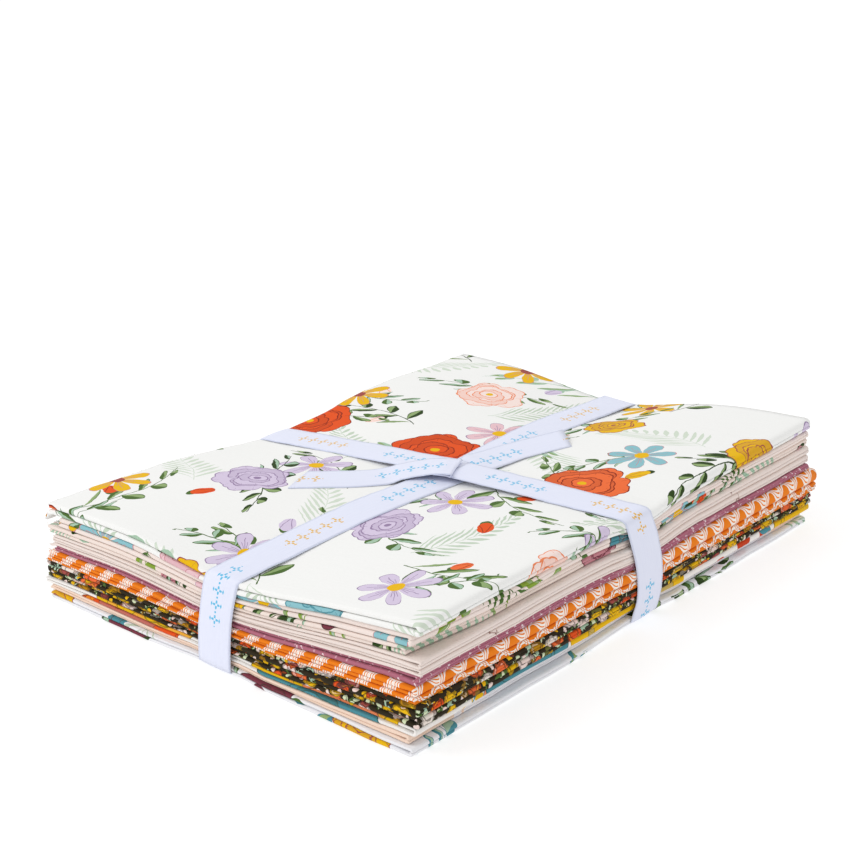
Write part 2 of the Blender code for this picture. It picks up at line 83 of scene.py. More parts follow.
# %% The cuts, from the bottom to the top
# thick: at the four corners. fold and open: how far the +X and -X ends go, at -Y and at +Y. front and back:
# how far the -Y and +Y ends go, at the open and at the fold side. layers: each layer's share of the height.
# stagger: how far every second layer stands back. fold_bow: how far the fold bulges between its ends.
CUTS = (
    {"name": "base_white", "thick": (3.5, 3.3, 2.9, 2.5), "fold": (105.5, 107.5), "open": (104.0, 104.0),
     "front": (144.5, 142.5), "back": (139.0, 139.5), "layers": (0.5, 0.5), "stagger": 0.6},
    {"name": "peach", "thick": (4.2, 2.9, 2.8, 2.6), "fold": (102.5, 105.0), "open": (105.0, 106.0),
     "front": (143.0, 141.0), "back": (140.0, 138.0), "layers": (0.5, 0.5), "stagger": -0.7},
    {"name": "colour_block", "thick": (3.6, 4.1, 3.2, 2.8), "fold": (104.8, 107.6), "open": (107.5, 105.0),
     "front": (143.5, 140.5), "back": (139.0, 141.0), "layers": (0.46, 0.54), "stagger": 0.9},
    {"name": "dark_garden", "thick": (9.9, 6.6, 7.2, 6.2), "fold": (107.0, 108.6), "open": (107.5, 106.5),
     "front": (142.5, 140.5), "back": (140.5, 140.5), "layers": (0.22, 0.25, 0.27, 0.26), "stagger": 1.1},
    {"name": "orange_arches", "thick": (7.4, 11.0, 5.6, 5.4), "fold": (105.4, 110.4), "open": (107.0, 105.5),
     "front": (142.0, 140.8), "back": (141.0, 142.5), "layers": (0.19, 0.21, 0.3, 0.3), "stagger": -0.9},
    {"name": "mauve_sprig", "thick": (4.6, 3.0, 2.6, 2.3), "fold": (105.4, 107.4), "open": (103.5, 104.0),
     "front": (140.5, 139.6), "back": (139.0, 139.5), "layers": (0.55, 0.45), "stagger": 0.8},
    {"name": "cream_sprig", "thick": (6.6, 9.4, 4.8, 4.4), "fold": (107.2, 106.2), "open": (104.5, 105.5),
     "front": (140.8, 140.0), "back": (140.5, 139.8), "layers": (0.24, 0.24, 0.26, 0.26), "stagger": 0.7},
    {"name": "blush_lower", "thick": (4.7, 3.4, 4.3, 3.4), "fold": (98.8, 105.2), "open": (107.0, 105.0),
     "front": (140.4, 139.6), "back": (140.0, 139.5), "layers": (0.5, 0.5), "stagger": -0.8,
     "fold_bow": 4.2},
    {"name": "blush_upper", "thick": (5.0, 3.4, 4.6, 3.4), "fold": (102.6, 105.6), "open": (100.0, 104.0),
     "front": (140.0, 139.4), "back": (139.5, 140.0), "layers": (0.48, 0.52), "stagger": 0.8,
     "fold_bow": 2.6},
    {"name": "white_floral", "thick": (6.0, 6.4, 5.6, 4.8), "fold": (107.2, 106.0), "open": (106.5, 105.5),
     "front": (139.6, 140.2), "back": (140.5, 141.0), "layers": (0.48, 0.52), "stagger": 0.7},
)
# Clear space between two cuts and between the layers of one
CUT_GAP = 0.32
LAYER_GAP = 0.24
print("cuts:", len(CUTS), "with", sum(len(cut["layers"]) for cut in CUTS), "layers")

# %% Heights in the pile
def mix(a, b, share):
    """From a, at share 0, to b, at share 1."""
    return a + (b - a) * share


def over_corners(values, x, y):
    """A value at a place in plan, from its values at the four corners."""
    across = (x + HALF_SHORT) / (2 * HALF_SHORT)
    along = (y + HALF_LONG) / (2 * HALF_LONG)
    fold_front, fold_back, open_front, open_back = values
    return mix(mix(open_front, fold_front, across), mix(open_back, fold_back, across), along)


def pile_top(x, y):
    """The top of the pile: the plane of the corners, less the dips."""
    height = over_corners(PILE_HEIGHT, x, y)
    for dip in DIPS:
        spread = np.where(x > dip["x"], dip["to_fold"], dip["to_open"])
        away = ((x - dip["x"]) / spread) ** 2 + ((y - dip["y"]) / dip["along"]) ** 2
        height = height - dip["depth"] * np.exp(-away)
    return height


def inside_channel(value, stops):
    """0 outside a channel and 1 where it is deep."""
    rise = (value - stops[0]) / (stops[1] - stops[0])
    fall = (stops[3] - value) / (stops[3] - stops[2])
    return np.clip(np.minimum(rise, fall), 0.0, 1.0)


def pile_bottom(x, y):
    """The underside of the pile, with its two channels and the pocket where they cross."""
    long_way = inside_channel(x, CHANNEL_X)
    short_way = inside_channel(y, CHANNEL_Y)
    return CHANNEL_DEPTH * np.maximum(long_way, short_way) + POCKET_DEPTH * long_way * short_way


corners = [(x, y) for x in (HALF_SHORT, -HALF_SHORT) for y in (-HALF_LONG, HALF_LONG)]
print("height at the four corners:", [round(float(pile_top(x, y)), 1) for x, y in corners])

# %% [markdown]
# ## Small unevenness
#
# No layer is as straight as a ruler. A noise texture could bend it, but it would bend each layer by itself,
# and layers would cross. Here a few sine waves with seeded phases make a soft wander, which is used for the
# edges of the layers and for how thick each one is. Two layers share the same boundary, so they never
# cross.

# %% A soft wander
WAVES = 4
# Each wave is shorter and lower than the one before it
WAVE_SHORTER = 1.9
WAVE_LOWER = 0.62
WAVE_LENGTHS = (0.8, 1.25)
WAVE_SUM = 1.6


def wander(seed, place, longest):
    """A smooth wavy number between about -1 and 1 along a line, the same for the same seed."""
    draw = np.random.default_rng(seed)
    total = 0.0
    for wave in range(WAVES):
        length = longest / WAVE_SHORTER**wave * draw.uniform(*WAVE_LENGTHS)
        phase = draw.uniform(0, 2 * math.pi)
        total = total + WAVE_LOWER**wave * np.sin(2 * math.pi * place / length + phase)
    return total / WAVE_SUM


def swell(place, at, spread):
    """1 at a place along a line, fading to 0 on both sides of it."""
    return np.exp(-(((place - at) / spread) ** 2))


# %% Heights of the layers
LEVEL_WANDER = 0.22


def near_outline(x, y):
    """1 at the outline of the pile and 0 in its middle, where nothing shows."""
    outward = np.maximum(np.abs(x) / HALF_SHORT, np.abs(y) / HALF_LONG)
    return np.clip(outward * 4 - 3, 0.0, 1.0)


def level(index, x, y):
    """The height of the face between cut index - 1 and cut index."""
    thicknesses = [over_corners(cut["thick"], x, y) for cut in CUTS]
    share = sum(thicknesses[:index]) / sum(thicknesses)
    height = share * pile_top(x, y) + (1 - share) ** CHANNEL_FADE * pile_bottom(x, y)
    if 0 < index < len(CUTS):
        shown = near_outline(x, y)
        height = height + LEVEL_WANDER * wander(100 + index, x + 0.4 * y, 120.0) * shown
        height = height + LEVEL_WANDER * wander(150 + index, y - 0.3 * x, 110.0) * shown
    return height


def layer_faces(index, layer, x, y):
    """The lower and upper height of one layer of a cut."""
    cut = CUTS[index]
    low = level(index, x, y) + (CUT_GAP / 2 if index > 0 else 0.0)
    high = level(index + 1, x, y) - (CUT_GAP / 2 if index < len(CUTS) - 1 else 0.0)
    cloth = high - low - LAYER_GAP * (len(cut["layers"]) - 1)
    below = sum(cut["layers"][:layer])
    start = low + below * cloth + layer * LAYER_GAP
    return start, start + cut["layers"][layer] * cloth


print("top cut at the near corner:", [round(float(v), 2) for v in layer_faces(9, 1, 100.0, -135.0)])

# %% [markdown]
# ## One folded cut
#
# A cut is one length of cotton. It comes off the bolt folded in four across its width, then it is folded in
# half, or back and forth, to the size of the pile. It could be modelled as a block, but a block has no
# plies at its ends and its print could not run round the folds. So the whole sheet is laid out as one grid
# of points: along the section of the layers one way, and along the four plies the other way.

# %% Sizes of a fold
CLOTH = 0.28
# How far a fold's nose stands out, against half its height
NOSE = 1.1
NOSE_INSIDE_LEAST = 0.3
NOSE_TURNS = np.radians(np.linspace(-78, 78, 11))
# Below 1 a fold has a flat front and tight corners, as pressed cloth has
NOSE_POWER = 0.70
# The slot inside a fold: its height on the fold side and on the open side, its length, and how it narrows
FOLD_SLOT = 0.8
OPEN_SIDE_SLOT = 0.25
FOLD_SLOT_LENGTH = 9.0
SLOT_POWER = 1.6
# Grooves where the plies of a pressed fold part: shares of the fold's height, for each cut's folds from
# below
GROOVES = {
    "base_white": ((0.1,),),
    "peach": ((-0.1,),),
    "dark_garden": ((0.25,), (-0.2, 0.4)),
    "orange_arches": ((-0.3, 0.35), ()),
    "mauve_sprig": ((-0.25, 0.4),),
    "cream_sprig": ((-0.1,), (0.1,)),
    "blush_lower": ((0.1,),),
    "blush_upper": ((0.2,),),
    "white_floral": ((-0.15,),),
}
GROOVE_DEPTH = 1.05
# The groove on the inner side of the cloth is this much as deep
GROOVE_INSIDE = 0.8
GROOVE_PLACES = np.array((-0.34, -0.12, 0.0, 0.12, 0.34))
# A groove out of reach, for a fold that has none
NO_GROOVE = 9.0
print("grooves:", sum(len(grooves) for folds in GROOVES.values() for grooves in folds))

# %% The face of a fold
def flattened(turn):
    """How far out and how far up a flat-fronted fold is at a turn."""
    cos, sin = np.cos(turn), np.sin(turn)
    return np.abs(cos) ** NOSE_POWER, np.sign(sin) * np.abs(sin) ** NOSE_POWER


def fold_face(grooves, half_height):
    """Shares of a fold's height, how far out its face is there, and how deep it is in a groove."""
    shares = flattened(NOSE_TURNS)[1]
    marks = [groove + place / half_height for groove in grooves for place in GROOVE_PLACES]
    shares = np.sort(np.concatenate([shares, marks]))
    out = (1 - np.abs(shares) ** (2 / NOSE_POWER)) ** (NOSE_POWER / 2)
    away = np.min([np.abs(shares - groove) for groove in (*grooves, NO_GROOVE)], axis=0) * half_height
    deep_to, gone_by = GROOVE_PLACES[-2:]
    deep = np.clip((gone_by - away) / (gone_by - deep_to), 0.0, 1.0)
    return out[None, :], shares[None, :], deep[None, :]


def pair_height(index, lower, place, y):
    """From the bottom of a layer to the top of the one above it."""
    return layer_faces(index, lower + 1, place, y)[1] - layer_faces(index, lower, place, y)[0]


def fold_arc(index, lower, start, y, side):
    """Outer and inner points of the fold that joins layer lower to the one above, for each y."""
    under_low, under_high = layer_faces(index, lower, start, y)
    over_low, over_high = layer_faces(index, lower + 1, start, y)
    slot = FOLD_SLOT if side > 0 else OPEN_SIDE_SLOT
    outer_half = (over_high - under_low) / 2
    inner_half = (over_low - under_high) / 2 + slot / 2
    length = outer_half * NOSE
    wall = (over_high - over_low + under_high - under_low) / 2 - slot / 2
    inner_length = np.maximum(NOSE_INSIDE_LEAST, length - wall)
    folds = GROOVES.get(CUTS[index]["name"], ())
    grooves = folds[lower // 2] if side > 0 and lower // 2 < len(folds) else ()
    out, share, deep = fold_face(grooves, float(outer_half.mean()))
    uneven = 0.8 + 0.25 * wander(700 + 10 * index + lower, y, 80.0)
    dent = deep * GROOVE_DEPTH * uneven[:, None]
    start = start[:, None]
    outer_x = start + side * (length[:, None] * out - dent)
    outer_z = (under_low + outer_half)[:, None] + outer_half[:, None] * share
    inner_x = start + side * (inner_length[:, None] * out - GROOVE_INSIDE * dent)
    inner_z = ((over_low + under_high) / 2)[:, None] + inner_half[:, None] * share
    return (outer_x, outer_z), (inner_x, inner_z)


print("stations round a plain fold:", fold_face((), 1.0)[0].shape[1])

# %% How the layers end
# The ribbon holds a cloth straight up to about 8 mm from its middle, and lets go of it by 21 mm
CALM_WIDTH = 13.0
CALM_SHARE = 1.6
# Stations along a layer are closer together near both ends
ENDS_CLOSER = 0.085
# Raw ends wander, a little inwards, within limits
LOOSE_WANDER = 1.3
LOOSE_IN = 0.5
LOOSE_LIMITS = (-0.8, 2.8)
# Raw ends that curl out of the pile on its open side: place along Y, length there, how far out and down
CURLS = {
    ("white_floral", 0): (-138.0, 10.0, 3.4, 4.0),
    ("blush_lower", 1): (-120.0, 12.0, 1.8, -0.8),
    ("cream_sprig", 0): (-137.0, 16.0, 2.0, 1.4),
    ("orange_arches", 0): (96.0, 30.0, 2.4, 1.2),
    ("mauve_sprig", 1): (60.0, 24.0, 2.2, 1.0),
    ("blush_upper", 0): (20.0, 26.0, 2.6, 1.5),
}
NO_CURL = (0.0, 1.0, 0.0, 0.0)
CURL_START = 0.8
CURL_POWER = 1.5


def under_ribbon(place, at):
    """1 under the ribbon and 0 away from it."""
    return np.clip(CALM_SHARE - np.abs(place - at) / CALM_WIDTH, 0.0, 1.0)


def reach_at(pair, half_length, place):
    """A reach between its values at the low end and the high end of an edge."""
    return mix(pair[0], pair[1], (place + half_length) / (2 * half_length))


def run_stations(step):
    """Shares along a layer from its open end to its fold."""
    count = round(2 * HALF_SHORT / step)
    even = np.linspace(0.0, 1.0, count + 1)
    return even - ENDS_CLOSER * np.sin(2 * math.pi * even)


print("layer ends that curl:", len(CURLS), "stations along a layer:", len(run_stations(9.5)))

# %% The section of a cut
# Where along the two long edges the ribbon crosses them
RIBBON_ON_FOLDS = 3.0
REACH_WANDER = 0.42
# A fold that bulges does so over this length from its near end and from its far end
BOW_RISE = 40
BOW_FALL = 220


def layer_run(index, layer, left, start, y, shares):
    """The lower and upper faces of one layer from left to start: x, low and high for each y and station."""
    x = left[:, None] + (start - left)[:, None] * shares[None, :]
    low, high = layer_faces(index, layer, x, y[:, None])
    return x, low, high


def section(index, y, step):
    """A cut's section at each y: x and z of one side of its cloth, then x and z of the other side."""
    cut = CUTS[index]
    count = len(cut["layers"])
    shares = run_stations(step)
    quiet = 1 - under_ribbon(y, RIBBON_ON_FOLDS)
    near_share = np.clip((y + HALF_LONG) / BOW_RISE, 0.0, 1.0)
    far_share = np.clip((HALF_LONG - y) / BOW_FALL, 0.0, 1.0)
    bow = cut.get("fold_bow", 0.0) * near_share * far_share
    uneven = REACH_WANDER * quiet * wander(200 + index, y, 140.0)
    fold_end = reach_at(cut["fold"], HALF_LONG, y) + bow + uneven
    open_end = -reach_at(cut["open"], HALF_LONG, y)
    parts = []
    for layer in range(count):
        outward = layer % 2 == 0
        at_fold = min(layer if outward else layer - 1, count - 2)
        start = fold_end - pair_height(index, at_fold, fold_end, y) / 2 * NOSE
        at_open = layer - 1 if outward else layer
        place, spread, curl_out, curl_down = CURLS.get((cut["name"], layer), NO_CURL)
        curl = swell(y, place, spread)
        if 0 <= at_open < count - 1:
            left = open_end + pair_height(index, at_open, open_end, y) / 2 * NOSE
        else:
            loose = LOOSE_WANDER * quiet * wander(300 + 10 * index + layer, y, 130.0) + LOOSE_IN * quiet
            left = open_end + np.clip(loose, *LOOSE_LIMITS) - curl_out * curl
        x, low, high = layer_run(index, layer, left, start, y, shares)
        if curl_out:
            past = (open_end[:, None] + CURL_START - x) / (curl_out + CURL_START)
            down = curl_down * np.clip(past, 0.0, None) ** CURL_POWER * curl[:, None]
            low = low - down
            high = high - down
        near_fold = np.clip(1 - (start[:, None] - x) / FOLD_SLOT_LENGTH, 0.0, 1.0)
        slot = FOLD_SLOT / 2 * near_fold**SLOT_POWER
        if outward:
            parts.append((x, low, x, high - slot))
        else:
            parts.append([side[:, ::-1] for side in (x, high, x, low + slot)])
        if layer < count - 1:
            outer, inner = fold_arc(index, layer, start if outward else left, y, 1 if outward else -1)
            parts.append((*outer, *inner) if outward else (*inner, *outer))
    return [np.concatenate(pieces, axis=1) for pieces in zip(*parts)]


print("points in the top cut's section:", section(9, np.zeros(1), 9.5)[0].shape[1])

# %% [markdown]
# ## The four plies of a layer
#
# Every layer of a cut is four plies, because the cloth lies folded in four across its width. At the front
# an outer fold holds a second fold inside it, and at the back one tight fold joins two of the plies. A
# stack of copies would give plies that don't join. So each row of points follows the real sheet: along one
# ply, round a fold, and back along the next.

# %% The rows of a folded sheet
OUTER_TURNS = 10
TIGHT_TURNS = 7


def ply_rows(fine, coarse):
    """Each row's share from the outer to the inner ply, place along it, turn in a fold, and kind."""
    turns = np.linspace(0.0, math.pi, OUTER_TURNS)[1:-1]
    few_turns = np.linspace(0.0, math.pi, TIGHT_TURNS)[1:-1]
    many = np.linspace(1.0, 0.0, fine)
    some = np.linspace(0.0, 1.0, coarse)
    rows = [(0.0, along, 0.0, "run") for along in many]
    rows += [(0.0, 0.0, turn, "outer") for turn in turns]
    rows += [(1.0, along, 0.0, "run") for along in some]
    rows += [(0.0, 1.0, turn, "hairpin") for turn in few_turns]
    rows += [(2 / 3, along, 0.0, "run") for along in some[::-1]]
    rows += [(0.0, 0.0, turn, "inner") for turn in few_turns]
    rows += [(1 / 3, along, 0.0, "run") for along in some]
    return rows


def end_place(cut, end, x, layers_done):
    """How far along Y a cut's front or back goes. Every second layer stands back a little."""
    wave = 0.5 - 0.5 * np.cos(math.pi * (layers_done - 0.5))
    stagger = cut["stagger"]
    back = stagger * wave if stagger > 0 else stagger * (wave - 1)
    if end == "front":
        return back - reach_at(cut["front"], HALF_SHORT, x)
    return reach_at(cut["back"], HALF_SHORT, x) - back


print("rows of a usual sheet:", len(ply_rows(26, 12)))

# %% The middle of a cut's cloth
# Where along the two short edges the ribbon crosses them
RIBBON_ON_ENDS = 2.0
ROWS_CLOSER = 0.03
# How round the outer fold at the front is, and how deep the fold inside it is
FOLD_ROUND = 0.95
INNER_FOLD = 0.42
# At a raw end the plies stand back from each other by up to this, in waves from ply to ply
PLY_STEP = 0.55
PLY_WAVES = 9.0


def cut_centre(index, step, fine, coarse):
    """The middle surface of a cut's sheet as a grid of points, in millimetres."""
    cut = CUTS[index]
    rows = ply_rows(fine, coarse)
    count = len(cut["layers"])
    front_mean = end_place(cut, "front", 0.0, 0.0)
    back_mean = end_place(cut, "back", 0.0, 0.0)
    eased = np.array([row[1] - ROWS_CLOSER * math.sin(2 * math.pi * row[1]) for row in rows])
    ax, az, bx, bz = section(index, mix(front_mean, back_mean, eased), step)
    columns = ax.shape[1]
    layers_done = np.arange(columns) / (columns / count)
    thick = np.hypot(bx - ax, bz - az)
    middle_x = (ax + bx) / 2
    quiet = 1 - under_ribbon(middle_x, RIBBON_ON_ENDS)
    loose = np.zeros_like(ax)
    for layer in range(count):
        weight = np.clip(1.2 - np.abs(layers_done - layer - 0.5) * 2, 0, 1)[None, :]
        loose = loose + weight * quiet * REACH_WANDER * wander(400 + 10 * index + layer, middle_x, 150.0)
    front = end_place(cut, "front", middle_x, layers_done[None, :]) - loose
    back = end_place(cut, "back", middle_x, layers_done[None, :]) + loose
    height = (thick - CLOTH) / 2
    reach = height * FOLD_ROUND
    from_end = np.minimum(np.arange(columns), np.arange(columns)[::-1])
    end_share = np.clip(1 - from_end / 2.0, 0.0, 1.0)
    grid = np.zeros((len(rows), columns, 3))
    for number, (ply, _, turn, kind) in enumerate(rows):
        half = height[number] / thick[number]
        share = 0.5 + half * (2 * ply - 1)
        y = mix(front[number] + reach[number], back[number] - reach[number] / 3, eased[number])
        if kind == "outer":
            out, up = flattened(turn - math.pi / 2)
            share = 0.5 + half * up
            y = y - reach[number] * out
        elif kind == "inner":
            share = 0.5 + half / 3 * math.cos(turn)
            y = y - reach[number] * INNER_FOLD * math.sin(turn)
        elif kind == "hairpin":
            share = 0.5 + half * (2 / 3 + math.cos(turn) / 3)
            y = y + reach[number] / 3 * math.sin(turn)
        step_back = PLY_STEP * (0.5 + 0.5 * np.sin(PLY_WAVES * share + index)) * end_share
        grid[number, :, 0] = mix(ax[number], bx[number], share) + step_back
        grid[number, :, 2] = mix(az[number], bz[number], share)
        grid[number, :, 1] = y
    return grid


# %% [markdown]
# ## From a grid to a cloth with two sides
#
# The grid is the middle of the cloth. A Solidify modifier could thicken it, but here the printed side, the
# paler back and the cut rim need their own materials, and the flat map must hold real lengths. So half the
# thickness goes to each side along the normals, a rim closes the two, and the lengths along the grid become
# the flat map in metres. A print that reads this map runs round a fold without a break or a stretch.

# %% Normals, flat lengths and the closed sheet
def grid_normals(grid):
    """Unit ways out of the grid's faces, at its points."""
    along = np.gradient(grid, axis=1)
    across = np.gradient(grid, axis=0)
    normal = np.cross(along, across)
    return normal / np.maximum(np.linalg.norm(normal, axis=2, keepdims=True), 1e-9)


def flat_lengths(grid):
    """How far each point of the grid is along the flat cloth, both ways, in millimetres."""
    u = np.zeros(grid.shape[:2])
    v = np.zeros(grid.shape[:2])
    u[:, 1:] = np.cumsum(np.linalg.norm(np.diff(grid, axis=1), axis=2), axis=1)
    v[1:, :] = np.cumsum(np.linalg.norm(np.diff(grid, axis=0), axis=2), axis=0)
    u = np.repeat(u.mean(axis=0)[None, :], grid.shape[0], axis=0)
    v = np.repeat(v.mean(axis=1)[:, None], grid.shape[1], axis=1)
    return u, v


def sheet_mesh(name, grid, thickness, flip=False):
    """A closed thin sheet from a grid of points: printed side, back side and the cut rim."""
    normal = grid_normals(grid) * (-1 if flip else 1)
    u, v = flat_lengths(grid)
    place = grid + SHIFT
    faces_up = place + normal * thickness / 2
    faces_down = place - normal * thickness / 2
    rows, columns = grid.shape[:2]
    points = np.concatenate([faces_up.reshape(-1, 3), faces_down.reshape(-1, 3)]) * MM
    number = np.arange(rows * columns).reshape(rows, columns)
    a, b = number[:-1, :-1].ravel(), number[:-1, 1:].ravel()
    c, d = number[1:, 1:].ravel(), number[1:, :-1].ravel()
    under = rows * columns
    up = np.stack([a, b, c, d], axis=1)
    down = np.stack([d, c, b, a], axis=1) + under
    loop = np.concatenate([number[0, :-1], number[:-1, -1], number[-1, :0:-1], number[:0:-1, 0]])
    after = np.roll(loop, -1)
    rim = np.stack([after, loop, loop + under, after + under], axis=1)
    faces = [side[:, ::-1] if flip else side for side in (up, down, rim)]
    mesh = bpy.data.meshes.new(name)
    mesh.from_pydata(points.tolist(), [], np.concatenate(faces).tolist())
    smooth = np.repeat([True, False], [2 * len(up), len(rim)])
    mesh.polygons.foreach_set("use_smooth", smooth)
    slots = np.repeat([0, 1, 1], [len(up), len(down), len(rim)]).astype(np.int32)
    mesh.polygons.foreach_set("material_index", slots)
    flat = np.concatenate([np.stack([u, v], axis=2).reshape(-1, 2)] * 2) * MM
    layer = mesh.uv_layers.new(name="flat")
    loop_points = np.zeros(len(mesh.loops), dtype=np.int32)
    mesh.loops.foreach_get("vertex_index", loop_points)
    layer.data.foreach_set("uv", flat[loop_points].ravel().astype(np.float32))
    obj = bpy.data.objects.new(name, mesh)
    bpy.context.scene.collection.objects.link(obj)
    return obj


# %% Lay all ten cuts
# Millimetres between stations along a layer, rows in the ply underneath, and rows in each other ply
USUAL_STEPS = (9.5, 26, 12)
STEPS = {"white_floral": (5.0, 60, 20)}
cloths = {}
raw_ends = {}
for index, cut in enumerate(CUTS):
    name = cut["name"]
    grid = cut_centre(index, *STEPS.get(name, USUAL_STEPS))
    u, v = flat_lengths(grid)
    cloths[name] = sheet_mesh("cotton_" + name, grid, CLOTH)
    raw_ends[name] = (grid[:, 0], grid[:, -1])
    print(name, "flat", round(u.max()), "x", round(v.max()), "mm")


# %% [markdown]
# ## The ribbon's path
#
# One flat ribbon goes round the pile the long way and the short way and is tied on top. A ribbon under
# tension takes the shortest way round what it wraps, which is the convex outline of the pile's section.
# Rays find the cloth under the ribbon's width, and a hull of the hits gives that outline.

# %% Sizes of the ribbon
RIBBON_WIDTH = 18.5
RIBBON_THICK = 0.34
# Clear space between the ribbon and what it lies on
RIBBON_GAP = 0.1
KNOT_PLACE = (10.0, -5.0)
# The middle of a wrap: on top at its start, at the knot and at its end; below at both ends; and how far it
# bows on the two sides
LONG_WRAP = {"top": (2.0, KNOT_PLACE[0], -1.5), "under": (0.5, -1.5), "bow": (-2.0, 0.0)}
SHORT_WRAP = {"top": (-2.8, KNOT_PLACE[1], -2.0), "under": (-2.8, 5.0), "bow": (0.0, 5.0)}
print("ribbon:", RIBBON_WIDTH, "mm wide, crossing itself at", KNOT_PLACE)

# %% Rays on the cloth
def trees_of(objects):
    """What rays can hit: one search tree for each piece."""
    graph = bpy.context.evaluated_depsgraph_get()
    return [BVHTree.FromObject(obj, graph) for obj in objects]


def first_hit(trees, start, way):
    """The nearest hit of a ray, in millimetres of the pile's frame."""
    origin = Vector((np.array(start) + SHIFT) * MM)
    nearest = None
    for tree in trees:
        place, _, _, far = tree.ray_cast(origin, Vector(way))
        if place is not None and (nearest is None or far < nearest[0]):
            nearest = (far, place)
    return np.array(nearest[1]) / MM - SHIFT if nearest else None


cloth_trees = trees_of(cloths.values())
middle_hit = first_hit(cloth_trees, (50.0, 0.0, 90.0), (0, 0, -1))
print("height of the top cloth beside the ribbon:", round(float(middle_hit[2]), 1))

# %% Where the middle of a wrap goes
# This near to the edge of the pile, a wrap has left the top
EDGE_ZONE = 7.0


def wrap_middle(line, half_length, place, height):
    """The middle of a wrap: bent at the knot on top, straight underneath, and drifting down the sides."""
    on_side = abs(place) > half_length - EDGE_ZONE
    place = max(-half_length, min(half_length, place))
    knot_at = KNOT_PLACE[1] if half_length == HALF_LONG else KNOT_PLACE[0]
    start, middle, end = line["top"]
    if place < knot_at:
        top = mix(start, middle, (place + half_length) / (knot_at + half_length))
    else:
        top = mix(middle, end, (place - knot_at) / (half_length - knot_at))
    under = mix(*line["under"], (place + half_length) / (2 * half_length))
    if not on_side:
        return top if height > min(PILE_HEIGHT) / 2 else under
    edge_middle, bow = (start, line["bow"][0]) if place < 0 else (end, line["bow"][1])
    edge_top = pile_top(edge_middle, place) if half_length == HALF_LONG else pile_top(place, edge_middle)
    down = max(0.0, min(1.0, 1 - height / float(edge_top)))
    return mix(top, under, down) + bow * 4 * down * (1 - down)


def wrap_point(line, along_y, distance, offset, height, side_height):
    """A point of a wrap, from how far along the pile it is, how far off the middle line, and how high."""
    half_length = HALF_LONG if along_y else HALF_SHORT
    middle = wrap_middle(line, half_length, distance, side_height) + offset
    return np.array((middle, distance, height) if along_y else (distance, middle, height))


# %% Find what a taut ribbon touches
RAYS_ALONG = 70
RAYS_ACROSS = 3
# Millimetres between the rays from the sides, and how far rays go past the ribbon's edge
SIDE_STEP = 0.7
TOUCH_MARGIN = 0.3


def touched_points(trees, along_y, line):
    """Where a taut ribbon could touch what it wraps, as points in the wrap's plane."""
    half_length = HALF_LONG if along_y else HALF_SHORT
    top = max(PILE_HEIGHT)
    half_width = RIBBON_WIDTH / 2 + TOUCH_MARGIN
    found = []

    def look(distance, height, offset, way, side_height):
        hit = first_hit(trees, wrap_point(line, along_y, distance, offset, height, side_height), way)
        if hit is not None:
            found.append((hit[1] if along_y else hit[0], hit[2]))

    for offset in np.linspace(-half_width, half_width, 2 * RAYS_ACROSS + 1):
        for step in range(-RAYS_ALONG, RAYS_ALONG + 1):
            distance = step * (half_length + EDGE_ZONE) / RAYS_ALONG
            look(distance, 2 * top, offset, (0, 0, -1), top)
            look(distance, -top, offset, (0, 0, 1), 0.0)
        for step in range(1, int(top / SIDE_STEP)):
            height = step * SIDE_STEP
            for side in (-1, 1):
                way = (0, -side, 0) if along_y else (-side, 0, 0)
                look(side * (half_length + top), height, offset, way, height)
    return found


# %% The taut outline
# Radians from one point to the next round a corner, and millimetres from one to the next along a wrap
TURN_STEP = 0.12
PATH_STEP = 2.4


def hull(points):
    """The convex outline of points, counter-clockwise."""
    ordered = sorted({(round(float(x), 2), round(float(z), 2)) for x, z in points})

    def chain(sequence):
        kept = []
        for p in sequence:
            while len(kept) > 1:
                (ax, az), (bx, bz) = kept[-2], kept[-1]
                if (bx - ax) * (p[1] - az) - (bz - az) * (p[0] - ax) > 0:
                    break
                kept.pop()
            kept.append(p)
        return kept[:-1]

    return chain(ordered) + chain(ordered[::-1])


def loop_round(outline, away):
    """Points round an outline at a distance from it, evenly spaced."""
    dense = []
    count = len(outline)
    for i, here in enumerate(outline):
        before, after = outline[i - 1], outline[(i + 1) % count]
        first = math.atan2(before[0] - here[0], here[1] - before[1])
        second = math.atan2(here[0] - after[0], after[1] - here[1])
        turn = (second - first) % (2 * math.pi)
        for part in np.linspace(0.0, 1.0, max(2, math.ceil(turn / TURN_STEP))):
            angle = first + turn * part
            dense.append((here[0] + away * math.cos(angle), here[1] + away * math.sin(angle)))
    dense = np.array(dense + dense[:1])
    far = np.concatenate([[0.0], np.cumsum(np.hypot(*np.diff(dense, axis=0).T))])
    even = np.linspace(0.0, far[-1], round(far[-1] / PATH_STEP) + 1)
    return np.stack([np.interp(even, far, dense[:, k]) for k in (0, 1)], axis=1)


print("corners of a trial outline:", len(hull([(0, 0), (4, 0), (4, 3), (2, 1), (0, 3)])))

# %% [markdown]
# ## The ribbon as a strip
#
# A ribbon is a narrow woven strip. Its two edges have a firmer selvedge, so it cups a little. A curve with
# a flat profile would be quick, but it twists at corners and has no flat map. So each piece is one grid,
# along the path and across the width, and it becomes a thin sheet in the same way as the cottons.

# %% Strip from a path
ACROSS = np.linspace(-1.0, 1.0, 13)
# How far the strip ripples, and how far from a slanting cut its threads still follow it
RIPPLE = 0.10
CUT_END = 14


